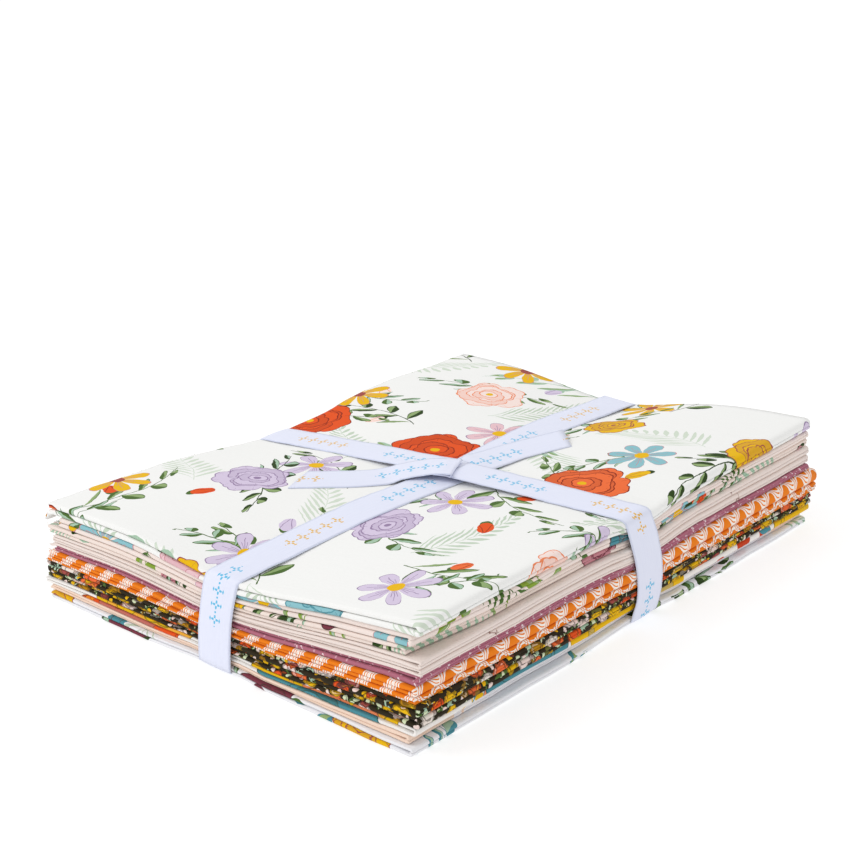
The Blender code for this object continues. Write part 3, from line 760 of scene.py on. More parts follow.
def strip(middles, acrosses, outs, widths, cup, ripple_seed, slants=(0.0, 0.0)):
    """A ribbon along middles, with unit ways across and out. cup lifts its middle, slants shear its ends."""
    far = np.concatenate([[0.0], np.cumsum(np.linalg.norm(np.diff(middles, axis=0), axis=1))])
    ways = np.gradient(middles, axis=0)
    ways /= np.maximum(np.linalg.norm(ways, axis=1, keepdims=True), 1e-9)
    first_end = slants[0] * np.clip(1 - far / CUT_END, 0, 1)
    last_end = slants[1] * np.clip(1 - (far[-1] - far) / CUT_END, 0, 1)
    sheared = first_end + last_end
    grid = np.zeros((len(ACROSS), len(middles), 3))
    for row, place in enumerate(ACROSS):
        lift = cup * (1 - place**2) + RIPPLE * wander(ripple_seed, far, 40.0) * place
        lift = lift + RIPPLE * wander(ripple_seed + 1, far, 55.0) * (2 * place**2 - 1)
        grid[row] = middles + acrosses * (widths * place / 2)[:, None] + outs * lift[:, None]
        grid[row] += ways * (sheared * place)[:, None]
    return grid, far[-1]


# %% A wrap round the pile
WIDTH_WANDER = 0.014
WRAP_CUP = 0.28
CUP_WANDER = 0.14
# Lower than this above a channel's depth, a wrap lies in the channel
IN_CHANNEL = 0.5
SMOOTHINGS = 3


def wrap_strip(trees, along_y, line, seed):
    """A wrap round the pile: its path starts and ends at the knot."""
    outline = hull(touched_points(trees, along_y, line))
    path = loop_round(outline, RIBBON_GAP + RIBBON_THICK / 2)
    knot_at = KNOT_PLACE[1] if along_y else KNOT_PLACE[0]
    high = path[:, 1] > max(PILE_HEIGHT) / 2
    start = int(np.argmin(np.abs(path[:, 0] - knot_at) + np.where(high, 0.0, 1e6)))
    path = np.concatenate([path[start:-1], path[: start + 1]])
    middles, outs = [], []
    ways = np.gradient(path, axis=0)
    ways /= np.linalg.norm(ways, axis=1, keepdims=True)
    for (x, z), (wx, wz) in zip(path, ways):
        middles.append(wrap_point(line, along_y, float(x), 0.0, float(z), float(z)))
        outs.append((0.0, wz, -wx) if along_y else (wz, 0.0, -wx))
    middles, outs = np.array(middles), np.array(outs)
    if along_y:
        low = middles[:, 2] < CHANNEL_DEPTH + IN_CHANNEL
        middles[:, 2] += np.where(low, POCKET_DEPTH * inside_channel(middles[:, 1], CHANNEL_Y), 0.0)
    side = 0 if along_y else 1
    smooth = middles[:, side].copy()
    for _ in range(SMOOTHINGS):
        smooth[1:-1] = (smooth[:-2] + 2 * smooth[1:-1] + smooth[2:]) / 4
    middles[:, side] = smooth
    across = np.zeros_like(middles)
    across[:, side] = 1.0
    far = np.arange(len(middles)) * PATH_STEP
    widths = RIBBON_WIDTH * (1 + WIDTH_WANDER * wander(seed + 7, far, 30.0))
    cup = WRAP_CUP + CUP_WANDER * wander(seed + 9, far, 70.0)
    return strip(middles, across, outs, widths, cup, seed)


# %% The long wrap
ribbons = {}
flat_long = {}
strips = {}
grid, flat_long["long"] = wrap_strip(cloth_trees, True, LONG_WRAP, 41)
strips["long"] = grid
ribbons["long"] = sheet_mesh("satin_long", grid, RIBBON_THICK, flip=True)
print("long wrap, mm:", round(flat_long["long"]))

# %% [markdown]
# ## The hitch and the two tails
#
# The ribbon is tied with a flat hitch. The right tail lies over the long wrap and comes out from under the
# short one, narrow at first, and opens to its full width. The left tail comes over the crossing and is
# tucked under at a crease. A tail could be dropped by a simulation, but it is so light and so short that a
# route laid on what rays find under it looks the same and never changes from run to run. So the pieces are
# laid one over another, in the order in which they were tied. Both tails are cut off at a slant.

# %% A smooth route
def smooth_route(stops, count):
    """Points along a smooth curve through the stops. A stop may carry more numbers than its place."""
    stops = np.array(stops, dtype=float)
    ends = np.concatenate([[2 * stops[0] - stops[1]], stops, [2 * stops[-1] - stops[-2]]])
    spans = len(stops) - 1
    at = np.minimum(np.linspace(0, spans, count + 1), spans - 1e-9)
    k = at.astype(int)
    t = (at - k)[:, None]
    a, b, c, d = ends[k], ends[k + 1], ends[k + 2], ends[k + 3]
    return b + ((c - a) * t + (2 * a - 5 * b + 4 * c - d) * t**2 + (3 * b - a - 3 * c + d) * t**3) / 2


route_trial = smooth_route([(0.0, 0.0), (10.0, 0.0), (10.0, 10.0)], 4)
print("points of a trial route:", route_trial.round(1).tolist())

# %% A strip that lies on what is under it
# Where rays feel for the ground: shares across the ribbon, millimetres along it, and their first height
FEEL_ACROSS = np.linspace(-1.0, 1.0, 9)
FEEL_ALONG = (-1.5, 0.0, 1.5)
ABOVE_ALL = 90.0
EASINGS = 5


def ground(trees, spot, way, width):
    """The highest thing under a short stretch across the ribbon."""
    across = np.array((way[1], -way[0]))
    heights = []
    for place in FEEL_ACROSS:
        for on in FEEL_ALONG:
            at = spot + across * place * width / 2 + way * on
            hit = first_hit(trees, (at[0], at[1], ABOVE_ALL), (0, 0, -1))
            if hit is not None:
                heights.append(hit[2])
    return max(heights)


def lying_strip(trees, stops, count):
    """Middles, ways across and widths of a strip laid along its stops: x, y, width and lift."""
    route = smooth_route(stops, count)
    plan = route[:, :2]
    widths = np.minimum(route[:, 2], RIBBON_WIDTH)
    ways = np.gradient(plan, axis=0)
    ways /= np.linalg.norm(ways, axis=1, keepdims=True)
    heights = np.array([ground(trees, spot, way, width) for spot, way, width in zip(plan, ways, widths)])
    eased = heights.copy()
    for _ in range(EASINGS):
        eased[1:-1] = np.maximum(heights[1:-1], (eased[:-2] + eased[2:]) / 2)
    eased += RIBBON_GAP + RIBBON_THICK / 2 + route[:, 3]
    middles = np.concatenate([plan, eased[:, None]], axis=1)
    across = np.stack([ways[:, 1], -ways[:, 0], np.zeros(len(ways))], axis=1)
    return middles, across, widths


# %% Right tail
# Its stops: x, y, width and lift
RIGHT_STOPS = (
    (9.6, -8.0, 11.0, 0.0), (10.8, -1.5, 12.5, 0.0), (12.0, 6.0, 16.5, 0.0), (12.6, 18.0, 18.5, 0.25),
    (15.4, 36.0, 18.5, 0.0), (24.1, 59.8, 18.5, 0.0),
)
RIGHT_POINTS = 36
RIGHT_SLANT = -3.5
# It cups most, and its far edge stands up, where it leaves the hitch
RIGHT_CUP = 0.5
RIGHT_EDGE_LIFT = 1.9
EDGE_POWER = 1.4
wraps = trees_of([*cloths.values(), ribbons["long"]])
middles, across, widths = lying_strip(wraps, RIGHT_STOPS, RIGHT_POINTS)
share = np.linspace(0.0, 1.0, len(middles))
up = np.tile((0.0, 0.0, 1.0), (len(middles), 1))
cup = 0.15 + RIGHT_CUP * swell(share, 0.42, 0.1)
grid, flat_long["tail_right"] = strip(middles, across, up, widths, cup, 51, (0.0, RIGHT_SLANT))
far_edge = ((1 - ACROSS) / 2)[:, None] ** EDGE_POWER
grid[:, :, 2] += far_edge * RIGHT_EDGE_LIFT * swell(share, 0.46, 0.1)[None, :]
strips["tail_right"] = grid
ribbons["tail_right"] = sheet_mesh("satin_tail_right", grid, RIBBON_THICK, flip=True)
print("right tail, mm:", round(flat_long["tail_right"]))

# %% The short wrap, over the right tail's root
grid, flat_long["short"] = wrap_strip(trees_of([*cloths.values(), *ribbons.values()]), False, SHORT_WRAP, 43)
strips["short"] = grid
ribbons["short"] = sheet_mesh("satin_short", grid, RIBBON_THICK)
print("short wrap, mm:", round(flat_long["short"]))

# %% Left tail, with its tuck
LEFT_STOPS = (
    (12.2, -7.2, 18.5, 0.95), (7.4, -9.4, 18.5, 0.95), (1.6, -12.4, 18.5, 0.6), (-10.0, -21.8, 18.5, 0.15),
    (-21.5, -35.5, 18.5, 0.0), (-40.1, -53.0, 18.5, 0.0),
)
LEFT_POINTS = 42
LEFT_SLANT = -4.2
LEFT_CUP = 0.5
# Its root turns under at a crease of this radius and runs back by these millimetres
TUCK_RADIUS = 0.4
TUCK_SHEAR = 1.2
TUCK_RUN = (6.0, 4.0, 2.0)
wraps = trees_of([*cloths.values(), *ribbons.values()])
middles, across, widths = lying_strip(wraps, LEFT_STOPS, LEFT_POINTS)
share = np.linspace(0.0, 1.0, len(middles))
way = (middles[0] - middles[1]) * (1, 1, 0)
way /= np.linalg.norm(way)
turns = np.linspace(math.pi, 0.0, 10)[:-1]
sines, cosines = np.sin(turns)[:, None], np.cos(turns)[:, None]
up = np.array((0.0, 0.0, 1.0))
tuck = middles[0] + way * TUCK_RADIUS * sines + up * TUCK_RADIUS * (cosines - 1)
under = np.array([tuck[0] - way * far for far in TUCK_RUN])
middles = np.concatenate([under, tuck, middles])
root_outs = [np.tile(-up, (len(under), 1)), way * sines + up * cosines]
outs = np.concatenate([*root_outs, np.tile(up, (len(share), 1))])
extra = len(under) + len(tuck)
across = np.concatenate([np.repeat(across[:1], extra, axis=0), across])
widths = np.concatenate([np.full(extra, widths[0]), widths])
cup = np.concatenate([np.full(extra, 0.1), 0.3 + LEFT_CUP * swell(share, 0.2, 0.12)])
grid, flat_long["tail_left"] = strip(middles, across, outs, widths, cup, 55, (TUCK_SHEAR, LEFT_SLANT))
strips["tail_left"] = grid
ribbons["tail_left"] = sheet_mesh("satin_tail_left", grid, RIBBON_THICK, flip=True)
print("ribbon lengths, mm:", {name: round(long) for name, long in flat_long.items()})

# %% [markdown]
# ## Writing prints as maths
#
# A printed cotton could use a picture, but here each print is worked out from the cloth's own flat measure,
# so it runs round every fold as ink does. One small class lets a shader sum be written like any other sum.

# %% Shader sums
class Ink:
    """A value in a print. Adding or comparing values adds Math nodes."""

    def __init__(self, paint, socket):
        self.paint = paint
        self.socket = socket

    def sum(self, operation, *others):
        return self.paint.make("ShaderNodeMath", {"operation": operation}, self, *others)

    def __add__(self, other):
        return self.sum("ADD", other)

    def __radd__(self, other):
        return self.sum("ADD", other)

    def __sub__(self, other):
        return self.sum("SUBTRACT", other)

    def __rsub__(self, other):
        return self.paint.make("ShaderNodeMath", {"operation": "SUBTRACT"}, other, self)

    def __mul__(self, other):
        return self.sum("MULTIPLY", other)

    def __rmul__(self, other):
        return self.sum("MULTIPLY", other)

    def __truediv__(self, other):
        return self.sum("DIVIDE", other)

    def __rtruediv__(self, other):
        return self.paint.make("ShaderNodeMath", {"operation": "DIVIDE"}, other, self)

    def __pow__(self, other):
        return self.sum("POWER", other)

    def __lt__(self, other):
        return self.sum("LESS_THAN", other)

    def __gt__(self, other):
        return self.sum("GREATER_THAN", other)

    def __abs__(self):
        return self.sum("ABSOLUTE")

    def __neg__(self):
        return self.sum("MULTIPLY", -1.0)

    def sin(self):
        return self.sum("SINE")

    def cos(self):
        return self.sum("COSINE")

    def floor(self):
        return self.sum("FLOOR")

    def part(self):
        return self.sum("FRACT")

    def least(self, other):
        return self.sum("MINIMUM", other)

    def most(self, other):
        return self.sum("MAXIMUM", other)


class Paint:
    """One material, with helpers that make its nodes."""

    def __init__(self, name):
        self.material = bpy.data.materials.new(name)
        self.material.use_nodes = True
        self.tree = self.material.node_tree
        self.shader = self.tree.nodes["Principled BSDF"]

    def feed(self, target, value):
        """Give a socket a link, or a plain value."""
        if isinstance(value, Ink):
            self.tree.links.new(value.socket, target)
        elif isinstance(value, bpy.types.NodeSocket):
            self.tree.links.new(value, target)
        else:
            target.default_value = value

    def node(self, kind, settings=None, inputs=None):
        """Any node: its settings first, then the values or links of its sockets by name or number."""
        node = self.tree.nodes.new(kind)
        for name, value in (settings or {}).items():
            if name == "stops":
                ramp = node.color_ramp
                ramp.interpolation = "CONSTANT"
                while len(ramp.elements) < len(value):
                    ramp.elements.new(0.5)
                for element, (place, colour) in zip(ramp.elements, value):
                    element.position = place
                    element.color = colour
            else:
                setattr(node, name, value)
        for name, value in (inputs or {}).items():
            self.feed(node.inputs[name], value)
        return node

    def make(self, kind, settings, *values):
        """A node from plain values in the order of its sockets, as one value of a print."""
        node = self.node(kind, settings, dict(enumerate(values)))
        return Ink(self, node.outputs[0])

    def vector_math(self, operation, inputs):
        return self.node("ShaderNodeVectorMath", {"operation": operation}, inputs).outputs[0]

    def blend(self, below, above, share):
        """Colour above laid over colour below."""
        node = self.node("ShaderNodeMix", {"data_type": "RGBA"}, {0: share, 6: below, 7: above})
        return node.outputs[2]

    def choose(self, chance, colours):
        """One of several colours, picked by a number from 0 to 1."""
        stops = [(k / len(colours), colour) for k, colour in enumerate(colours)]
        return self.node("ShaderNodeValToRGB", {"stops": stops}, {0: chance}).outputs[0]

    def noise(self, vector, scale, detail=2.0):
        """Soft noise, as one value and as a colour."""
        node = self.node("ShaderNodeTexNoise", {}, {"Vector": vector, "Scale": scale, "Detail": detail})
        return Ink(self, node.outputs[0]), node.outputs[1]

    def flat(self):
        """Where a point is on the flat cloth, in millimetres."""
        where = self.node("ShaderNodeUVMap", {"uv_map": "flat"})
        return self.vector_math("SCALE", {0: where.outputs[0], "Scale": 1000.0})

    def split(self, vector):
        node = self.node("ShaderNodeSeparateXYZ", {}, {0: vector})
        return Ink(self, node.outputs[0]), Ink(self, node.outputs[1]), Ink(self, node.outputs[2])

    def join(self, x, y, z=0.0):
        return self.node("ShaderNodeCombineXYZ", {}, {0: x, 1: y, 2: z}).outputs[0]

    def wobble(self, vector, size, amount):
        """The place moved a little by noise, as a hand-drawn line wanders."""
        colour = self.noise(vector, 1.0 / size, 1.0)[1]
        centred = self.vector_math("SUBTRACT", {0: colour, 1: (0.5, 0.5, 0.5)})
        return self.vector_math("MULTIPLY_ADD", {0: centred, 1: (amount, amount, 0.0), 2: vector})

    def bump(self, height, strength, distance=0.001):
        """The way the surface faces once a height is pressed into it."""
        inputs = {"Strength": strength, "Distance": distance, "Height": height}
        return self.node("ShaderNodeBump", {}, inputs).outputs[0]

    def surface(self, sockets):
        """Feed the shader's sockets by name, and hand over the finished material."""
        for name, value in sockets.items():
            self.feed(self.shader.inputs[name], value)
        return self.material


def rgb(code):
    """A colour from six hexadecimal digits, as Blender's linear numbers."""
    values = [int(code[k : k + 2], 16) / 255 for k in (0, 2, 4)]
    return (*[c / 12.92 if c <= 0.04045 else ((c + 0.055) / 1.055) ** 2.4 for c in values], 1.0)


print("a mid grey as linear numbers:", [round(value, 3) for value in rgb("808080")])

# %% [markdown]
# ## Motifs
#
# The cottons carry a loose garden print: open many-petalled blooms, daisy-like blossoms, leafy sprays,
# ferns and buds. Drawing each flower as geometry would take far too many faces, and a picture would repeat.
# So each motif is a few sums on its own x and y, and it is set once in every cell of a brick lattice,
# moved, turned and coloured by chance, so nothing lines up.

# %% The lattice
def scatter(paint, place, size, seed, jitter, offset=(0.0, 0.0)):
    """The nearest cell's own x and y in millimetres, turned by chance, with three random numbers."""
    x, y, _ = paint.split(place)
    down = y / size + offset[1]
    row = down.floor()
    over = x / size + (row * 0.5).part() + offset[0]
    column = over.floor()
    cell = paint.join(column, row, seed)
    chance = paint.node("ShaderNodeTexWhiteNoise", {"noise_dimensions": "3D"}, {0: cell})
    red, green, blue = paint.split(chance.outputs[1])
    own_x = (over - column - 0.5) * size - (red - 0.5) * jitter
    own_y = (down - row - 0.5) * size - (green - 0.5) * jitter
    own = {"Vector": paint.join(own_x, own_y), "Angle": blue * (2 * math.pi)}
    turned = paint.node("ShaderNodeVectorRotate", {"rotation_type": "Z_AXIS"}, own)
    px, py, _ = paint.split(turned.outputs[0])
    more = Ink(paint, chance.outputs[0])
    return px, py, (more, (red * 7.31).part(), (green * 5.17).part())


def far_out(px, py):
    """How far a point is from the middle of its motif."""
    return (px * px + py * py) ** 0.5


def polar(px, py):
    """How far a point is from the middle of its motif, and in which direction."""
    return far_out(px, py), py.sum("ARCTAN2", px)


# %% Flowers
# Petals in each ring of a bloom, and how much smaller each ring is
RING_PETALS = (5, 4, 4, 3, 2)
RING_SMALLER = 0.185


def bloom(paint, colour, px, py, radius, tones, line, seed, rings=5):
    """An open bloom of scalloped rings of petals, drawn with a pen line round each ring."""
    far, angle = polar(px, py)
    for ring in range(rings):
        size = radius * (1 - RING_SMALLER * ring)
        petals = RING_PETALS[ring % len(RING_PETALS)]
        turned = angle + (seed + 1.7 * ring)
        lobe = abs((turned * (petals / 2)).sin())
        lobe = lobe + 0.35 * abs((turned * (petals + 1.5)).sin())
        edge = size * (0.80 + 0.2 * lobe - 0.09 * (turned + 0.7 * ring).sin())
        inside = edge - far
        body = inside > 0.0
        colour = paint.blend(colour, tones[ring % len(tones)], body)
        pen = abs(inside - 0.25) < 0.16 + 0.12 * lobe
        strokes = petals * 2.0 + 3.0
        stroke = abs((turned * (strokes / (2 * math.pi))).part() - 0.5) * far < 0.15
        colour = paint.blend(colour, line, pen.most(stroke * body * (inside < 0.17 * size)))
    return colour


def blossom(paint, colour, px, py, radius, petals, petal_colour, line, heart):
    """A single ring of long petals with a pen line down each and a heart."""
    far, angle = polar(px, py)
    across = abs((angle * petals / (2 * math.pi)).part() - 0.5)
    edge = radius * (1.0 - (across * 1.95) ** 2.6) - 0.8
    inside = edge - far
    colour = paint.blend(colour, petal_colour, inside > 0.0)
    colour = paint.blend(colour, line, abs(inside - 0.2) < 0.26)
    vein = (abs(across * far) < 0.16) * (far < radius * 0.72)
    side_vein = (abs(abs(across - 0.17) * far - 0.02) < 0.12) * (far < radius * 0.5)
    colour = paint.blend(colour, line, vein.most(side_vein))
    return paint.blend(colour, heart, far < radius * 0.2)


# %% Leaves and buds
def spray(paint, colour, px, py, length, leaf, pitch, slope, fat, green, light, stem=0.3, bend=0.012):
    """A stem along x from 0 with leaves on both sides, shorter towards its tip."""
    bent = py - bend * px * px
    off = abs(bent)
    side = bent.sum("SIGN")
    along = px - off * slope
    turn = along / pitch + side * 0.22
    across = (turn.part() - 0.5) * pitch
    reach = leaf * (1.05 - px / length).most(0.0) ** 0.6
    body = (off / reach.most(0.05)).least(1.0)
    width = fat * (body * math.pi).sin().most(0.0) ** 0.8
    within = (along > pitch * 0.3) * (px < length)
    blade = (abs(across) < width) * (off < reach) * within
    colour = paint.blend(colour, green, blade)
    if light is not None:
        half = (across > 0.0) * (abs(across) < width * 0.8) * (off < reach * 0.9) * within
        colour = paint.blend(colour, light, half)
    stalk = (off < stem) * (px > 0.0) * (px < length)
    return paint.blend(colour, green, stalk)


def bud(paint, colour, px, py, at, size, petal, line, green):
    """A closed bud: a pointed oval with two pen lines, in a small green cup."""
    x, y = px - at[0], py - at[1]
    oval = 1.0 - (x / size) * (x / size) - (y / (size * 0.62)) ** 2
    cup = 1.0 - ((x + size * 0.75) / (size * 0.6)) ** 2 - (y / (size * 0.45)) ** 2
    colour = paint.blend(colour, green, cup > 0.0)
    colour = paint.blend(colour, petal, oval > 0.0)
    pen = abs(abs(y) - (0.30 * size) * (1.0 - x / size * 0.8)) < 0.17
    return paint.blend(colour, line, pen * (oval > 0.0))


# %% The inks
PALETTE = {
    "orange": rgb("E8561F"), "flame": rgb("F2713C"), "coral": rgb("F08A5C"), "deep": rgb("C9421A"),
    "rust": rgb("8E2C16"), "brick": rgb("A5504A"), "wine": rgb("7C3A48"), "ink": rgb("5B3A3A"),
    "mustard": rgb("EDBB10"), "ochre": rgb("B98510"), "shell": rgb("FBE6DF"), "pink": rgb("EBC4CB"),
    "rose": rgb("C98791"), "lilac": rgb("D9CBE3"), "violet": rgb("9A84A8"), "sky": rgb("8EC3CC"),
    "teal": rgb("4E8F9C"), "leaf": rgb("506E34"), "dark_leaf": rgb("30471D"), "lime": rgb("86A23A"),
    "pale_leaf": rgb("93AC74"), "mint": rgb("A9C7AE"), "sage": rgb("C6D5C1"), "mist": rgb("D5E0D0"),
}
print("inks:", len(PALETTE))

# %% [markdown]
# ## The surface of quilting cotton
#
# Quilting cotton is a plain weave without any shine. Its threads are 0.4 mm apart, too fine for geometry,
# so they are a bump. Here and there a thread is thicker, which is called a slub and shows as a faint
# streak. The shader is rough, reflects little, and has a trace of sheen, for the fibres that stand up from
# the cloth.

# %% Cotton finish
# How much of the studio's light each cloth gives back, against its given colour
BRIGHT = 0.915
# Millimetres from thread to thread
WEAVE = 0.42
# A slub is long one way and short the other
SLUB = (0.05, 1.6, 0.0)


def finish_cloth(paint, colour, place):
    """Cotton: the print's colour, a faint uneven tone, a plain weave bump and a soft dull surface."""
    tone, _ = paint.noise(place, 0.9)
    slub, _ = paint.noise(paint.vector_math("MULTIPLY", {0: place, 1: SLUB}), 1.0)
    # both noises are 0.5 on average, so half of what they add is taken off first
    shade = BRIGHT - 0.045 + 0.05 * tone + 0.04 * slub
    grey = {0: 1.0, 6: colour, 7: paint.join(shade, shade, shade)}
    shaded = paint.node("ShaderNodeMix", {"data_type": "RGBA", "blend_type": "MULTIPLY"}, grey)
    x, y, _ = paint.split(place)
    turn = 2 * math.pi / WEAVE
    threads = (x * turn).sin() * (y * turn).sin()
    crumple, _ = paint.noise(place, 0.12, 3.0)
    return paint.surface({
        "Base Color": shaded.outputs[2],
        "Normal": paint.bump(threads * 0.03 + crumple * 0.35, 0.10),
        "Roughness": 0.86,
        "Specular IOR Level": 0.10,
        "Sheen Weight": 0.03,
        "Sheen Roughness": 0.5,
    })


# %% [markdown]
# ## The garden print
#
# The main print is on the white and the blush cottons: blooms and single blossoms with leafy sprays, ferns
# and buds between them, on a plain ground. It is built up as a screen printer does it, one ink over
# another, from the palest ferns to the flowers. First the place is moved a little by noise, so that every
# line looks drawn.

# %% Garden print
# A single blossom's petals, pen lines and hearts
BLOSSOM_PETALS = [PALETTE["lilac"], PALETTE["pink"], PALETTE["sky"], PALETTE["mustard"]]
BLOSSOM_LINES = [PALETTE["violet"], PALETTE["rose"]]
BLOSSOM_HEARTS = [PALETTE["mustard"]] * 3 + [PALETTE["brick"]]


def garden_print(name, ground, seed, size, flowers, leaves, ferns, large):
    """Blooms, blossoms, sprays, ferns and buds on a plain ground. flowers are pairs of body and line."""
    paint = Paint(name)
    place = paint.wobble(paint.flat(), 38.0, 9.0)
    place = paint.wobble(place, 4.0, 1.3)
    bodies, lines = zip(*flowers)
    colour = ground
    # ferns, in pale green
    fx, fy, chance = scatter(paint, place, size, seed + 3.0, size * 0.28, (0.5, 0.0))
    fern = paint.choose(chance[0], ferns)
    colour = spray(
        paint, colour, fx + size * 0.30, fy, length=size * 0.62, leaf=size * 0.19, pitch=4.1, slope=0.9,
        fat=1.15, green=fern, light=None, stem=0.22)
    # leafy sprays and buds
    lx, ly, chance = scatter(paint, place, size, seed + 5.0, size * 0.22, (0.25, 0.5))
    green = paint.choose(chance[0], leaves)
    colour = spray(
        paint, colour, lx + size * 0.34, ly, length=size * 0.64, leaf=size * 0.21, pitch=13.0, slope=0.7,
        fat=3.1, green=green, light=PALETTE["pale_leaf"])
    petal = paint.choose(chance[1], bodies[::-1])
    line = paint.choose(chance[1], lines[::-1])
    colour = bud(paint, colour, lx, ly, (size * 0.33, 1.5), size * 0.07, petal, line, green)
    colour = bud(paint, colour, ly, lx, (size * 0.20, -size * 0.12), size * 0.06, petal, line, green)
    # single blossoms
    bx, by, chance = scatter(paint, place, size, seed + 9.0, size * 0.2, (0.0, 0.5))
    petal = paint.choose(chance[0], BLOSSOM_PETALS)
    heart = paint.choose(chance[0], BLOSSOM_HEARTS)
    colour = spray(
        paint, colour, bx, by, length=size * 0.42, leaf=size * 0.17, pitch=11.0, slope=0.7,
        fat=2.6, green=PALETTE["leaf"], light=PALETTE["mint"])
    line = paint.choose(chance[0], BLOSSOM_LINES)
    colour = blossom(paint, colour, bx, by, large * 0.95, 7.0, petal, line, heart)
    # open blooms with leaves behind them
    px, py, chance = scatter(paint, place, size, seed, size * 0.2)
    green = paint.choose(chance[1], leaves)
    colour = spray(
        paint, colour, px, py, length=size * 0.45, leaf=size * 0.19, pitch=12.0, slope=0.7,
        fat=3.2, green=green, light=PALETTE["mint"], bend=0.02)
    colour = spray(
        paint, colour, -py, px, length=size * 0.40, leaf=size * 0.17, pitch=11.0, slope=0.6,
        fat=3.0, green=green, light=PALETTE["pale_leaf"], bend=-0.02)
    body = paint.choose(chance[0], bodies)
    line = paint.choose(chance[0], lines)
    inner = paint.blend(body, line, 0.24)
    radius = large * (0.78 + 0.34 * chance[1])
    colour = bloom(paint, colour, px, py, radius, (body, inner), line, chance[2] * 6.0)
    heart = paint.blend(line, PALETTE["mustard"], chance[1] > 0.45)
    colour = paint.blend(colour, heart, far_out(px, py) < radius * 0.1)
    return finish_cloth(paint, colour, paint.flat())


# %% [markdown]
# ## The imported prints
#
# The dark garden has the same flowers packed close on brown-black, and the colour block has them so large
# that hardly any ground is left. One function makes both, since they differ only in size, inks and how full
# they are.

# %% Packed print
# Each layer of leaves: where its lattice lies, and its length against the lattice
LEAF_LAYERS = (((0.5, 0.0), 0.55), ((0.0, 0.5), 0.5), ((0.25, 0.25), 0.45))
BLOOM_LAYERS = ((0.0, 0.0), (0.5, 0.5))


def packed_print(name, ground, seed, size, flowers, leaves, light_leaf, ink, full=0.33, fleck=0.0):
    """Blooms and leaves packed close. full: a bloom's share of the lattice. fleck: loose petals' lattice."""
    paint = Paint(name)
    place = paint.wobble(paint.flat(), 20.0, 6.0)
    place = paint.wobble(place, 3.0, 0.9)
    colour = ground
    for layer, (offset, length) in enumerate(LEAF_LAYERS):
        px, py, chance = scatter(paint, place, size, seed + layer * 3.0, size * 0.25, offset)
        green = paint.choose(chance[0], leaves)
        colour = spray(
            paint, colour, px + size * 0.28, py, length=size * length, leaf=size * 0.19, pitch=size * 0.15,
            slope=0.6, fat=size * 0.042, green=green, light=light_leaf if layer else None, stem=0.4)
    if fleck:
        px, py, chance = scatter(paint, place, fleck, seed + 40.0, fleck * 0.4)
        oval = (px * px + py * py * 2.6) ** 0.5 < fleck * 0.27
        tint = paint.choose(chance[0], [light_leaf, flowers[1], flowers[5], ground])
        colour = paint.blend(colour, tint, oval)
    for layer, offset in enumerate(BLOOM_LAYERS):
        px, py, chance = scatter(paint, place, size, seed + 20.0 + layer, size * 0.2, offset)
        body = paint.choose(chance[0], flowers)
        inner = paint.blend(body, paint.choose(chance[1], flowers[::-1]), 0.35)
        radius = size * (full - 0.07 * layer) * (0.8 + 0.3 * chance[1])
        line = paint.blend(body, ink, 0.6)
        colour = bloom(paint, colour, px, py, radius, (body, inner), line, chance[2] * 6.0, 3)
    return finish_cloth(paint, colour, paint.flat())


# %% [markdown]
# ## The clamshell print
#
# A clamshell is an old patchwork figure of overlapping scales in rows, each row half a scale along from the
# next. A point can lie only on a scale of the row before it or of the row after it. So both are worked out,
# and one is laid over the other. The white arcs are rings round the middle of a scale.

# %% Clamshell
# The white arcs of a scale: radius against the scale's own, and half the line's width
CLAM_ARCS = ((0.95, 0.36), (0.77, 0.36), (0.59, 0.3))


def clamshell_print(name, ground, white, pitch, row, start):
    """Rows of overlapping scales, each with three white arcs."""
    paint = Paint(name)
    place = paint.wobble(paint.flat(), 9.0, 0.7)
    x, y, _ = paint.split(place)
    y = y - start
    colour = ground
    line = (y / row).floor()
    radius = pitch * 0.5
    for step in (1, 0):
        at_row = line + step
        over = x / pitch + (at_row * 0.5).part()
        px = (over.part() - 0.5) * pitch
        far = far_out(px, y - at_row * row)
        first, second, third = [abs(far - radius * share) < half for share, half in CLAM_ARCS]
        scale = paint.blend(ground, white, first.most(second).most(third))
        colour = paint.blend(colour, scale, far < radius)
    return finish_cloth(paint, colour, paint.flat())


# %% [markdown]
# ## The small prints
#
# Two cottons are nearly plain, with tiny sprigs in rows, and one has a broad soft stripe. The paler back of
# every cotton shows at the raw ends: cotton is printed on one side, and a little of the print shows through
# it.

# %% Sprigs
def sprig_print(name, ground, mark, size, seed, petals, radius, second):
    """Tiny sprigs with a stem and a bud, and dots between them, on a plain ground."""
    paint = Paint(name)
    place = paint.wobble(paint.flat(), 6.0, 0.8)
    px, py, _ = scatter(paint, place, size, seed, size * 0.3)
    far, angle = polar(px, py)
    lobe = radius * (0.72 + 0.28 * (angle * petals).cos())
    colour = paint.blend(ground, mark, (far < lobe) * (far > radius * 0.2))
    stem = (abs(py - 0.10 * px * px) < 0.16) * (px > radius) * (px < radius * 2.6)
    colour = paint.blend(colour, mark, stem)
    bud_mask = far_out(px - radius * 2.4, py - 0.8) < radius * 0.34
    colour = paint.blend(colour, mark, bud_mask)
    qx, qy, _ = scatter(paint, place, size, seed + 2.0, size * 0.4, (0.5, 0.5))
    colour = paint.blend(colour, second, far_out(qx, qy) < radius * 0.5)
    return finish_cloth(paint, colour, paint.flat())


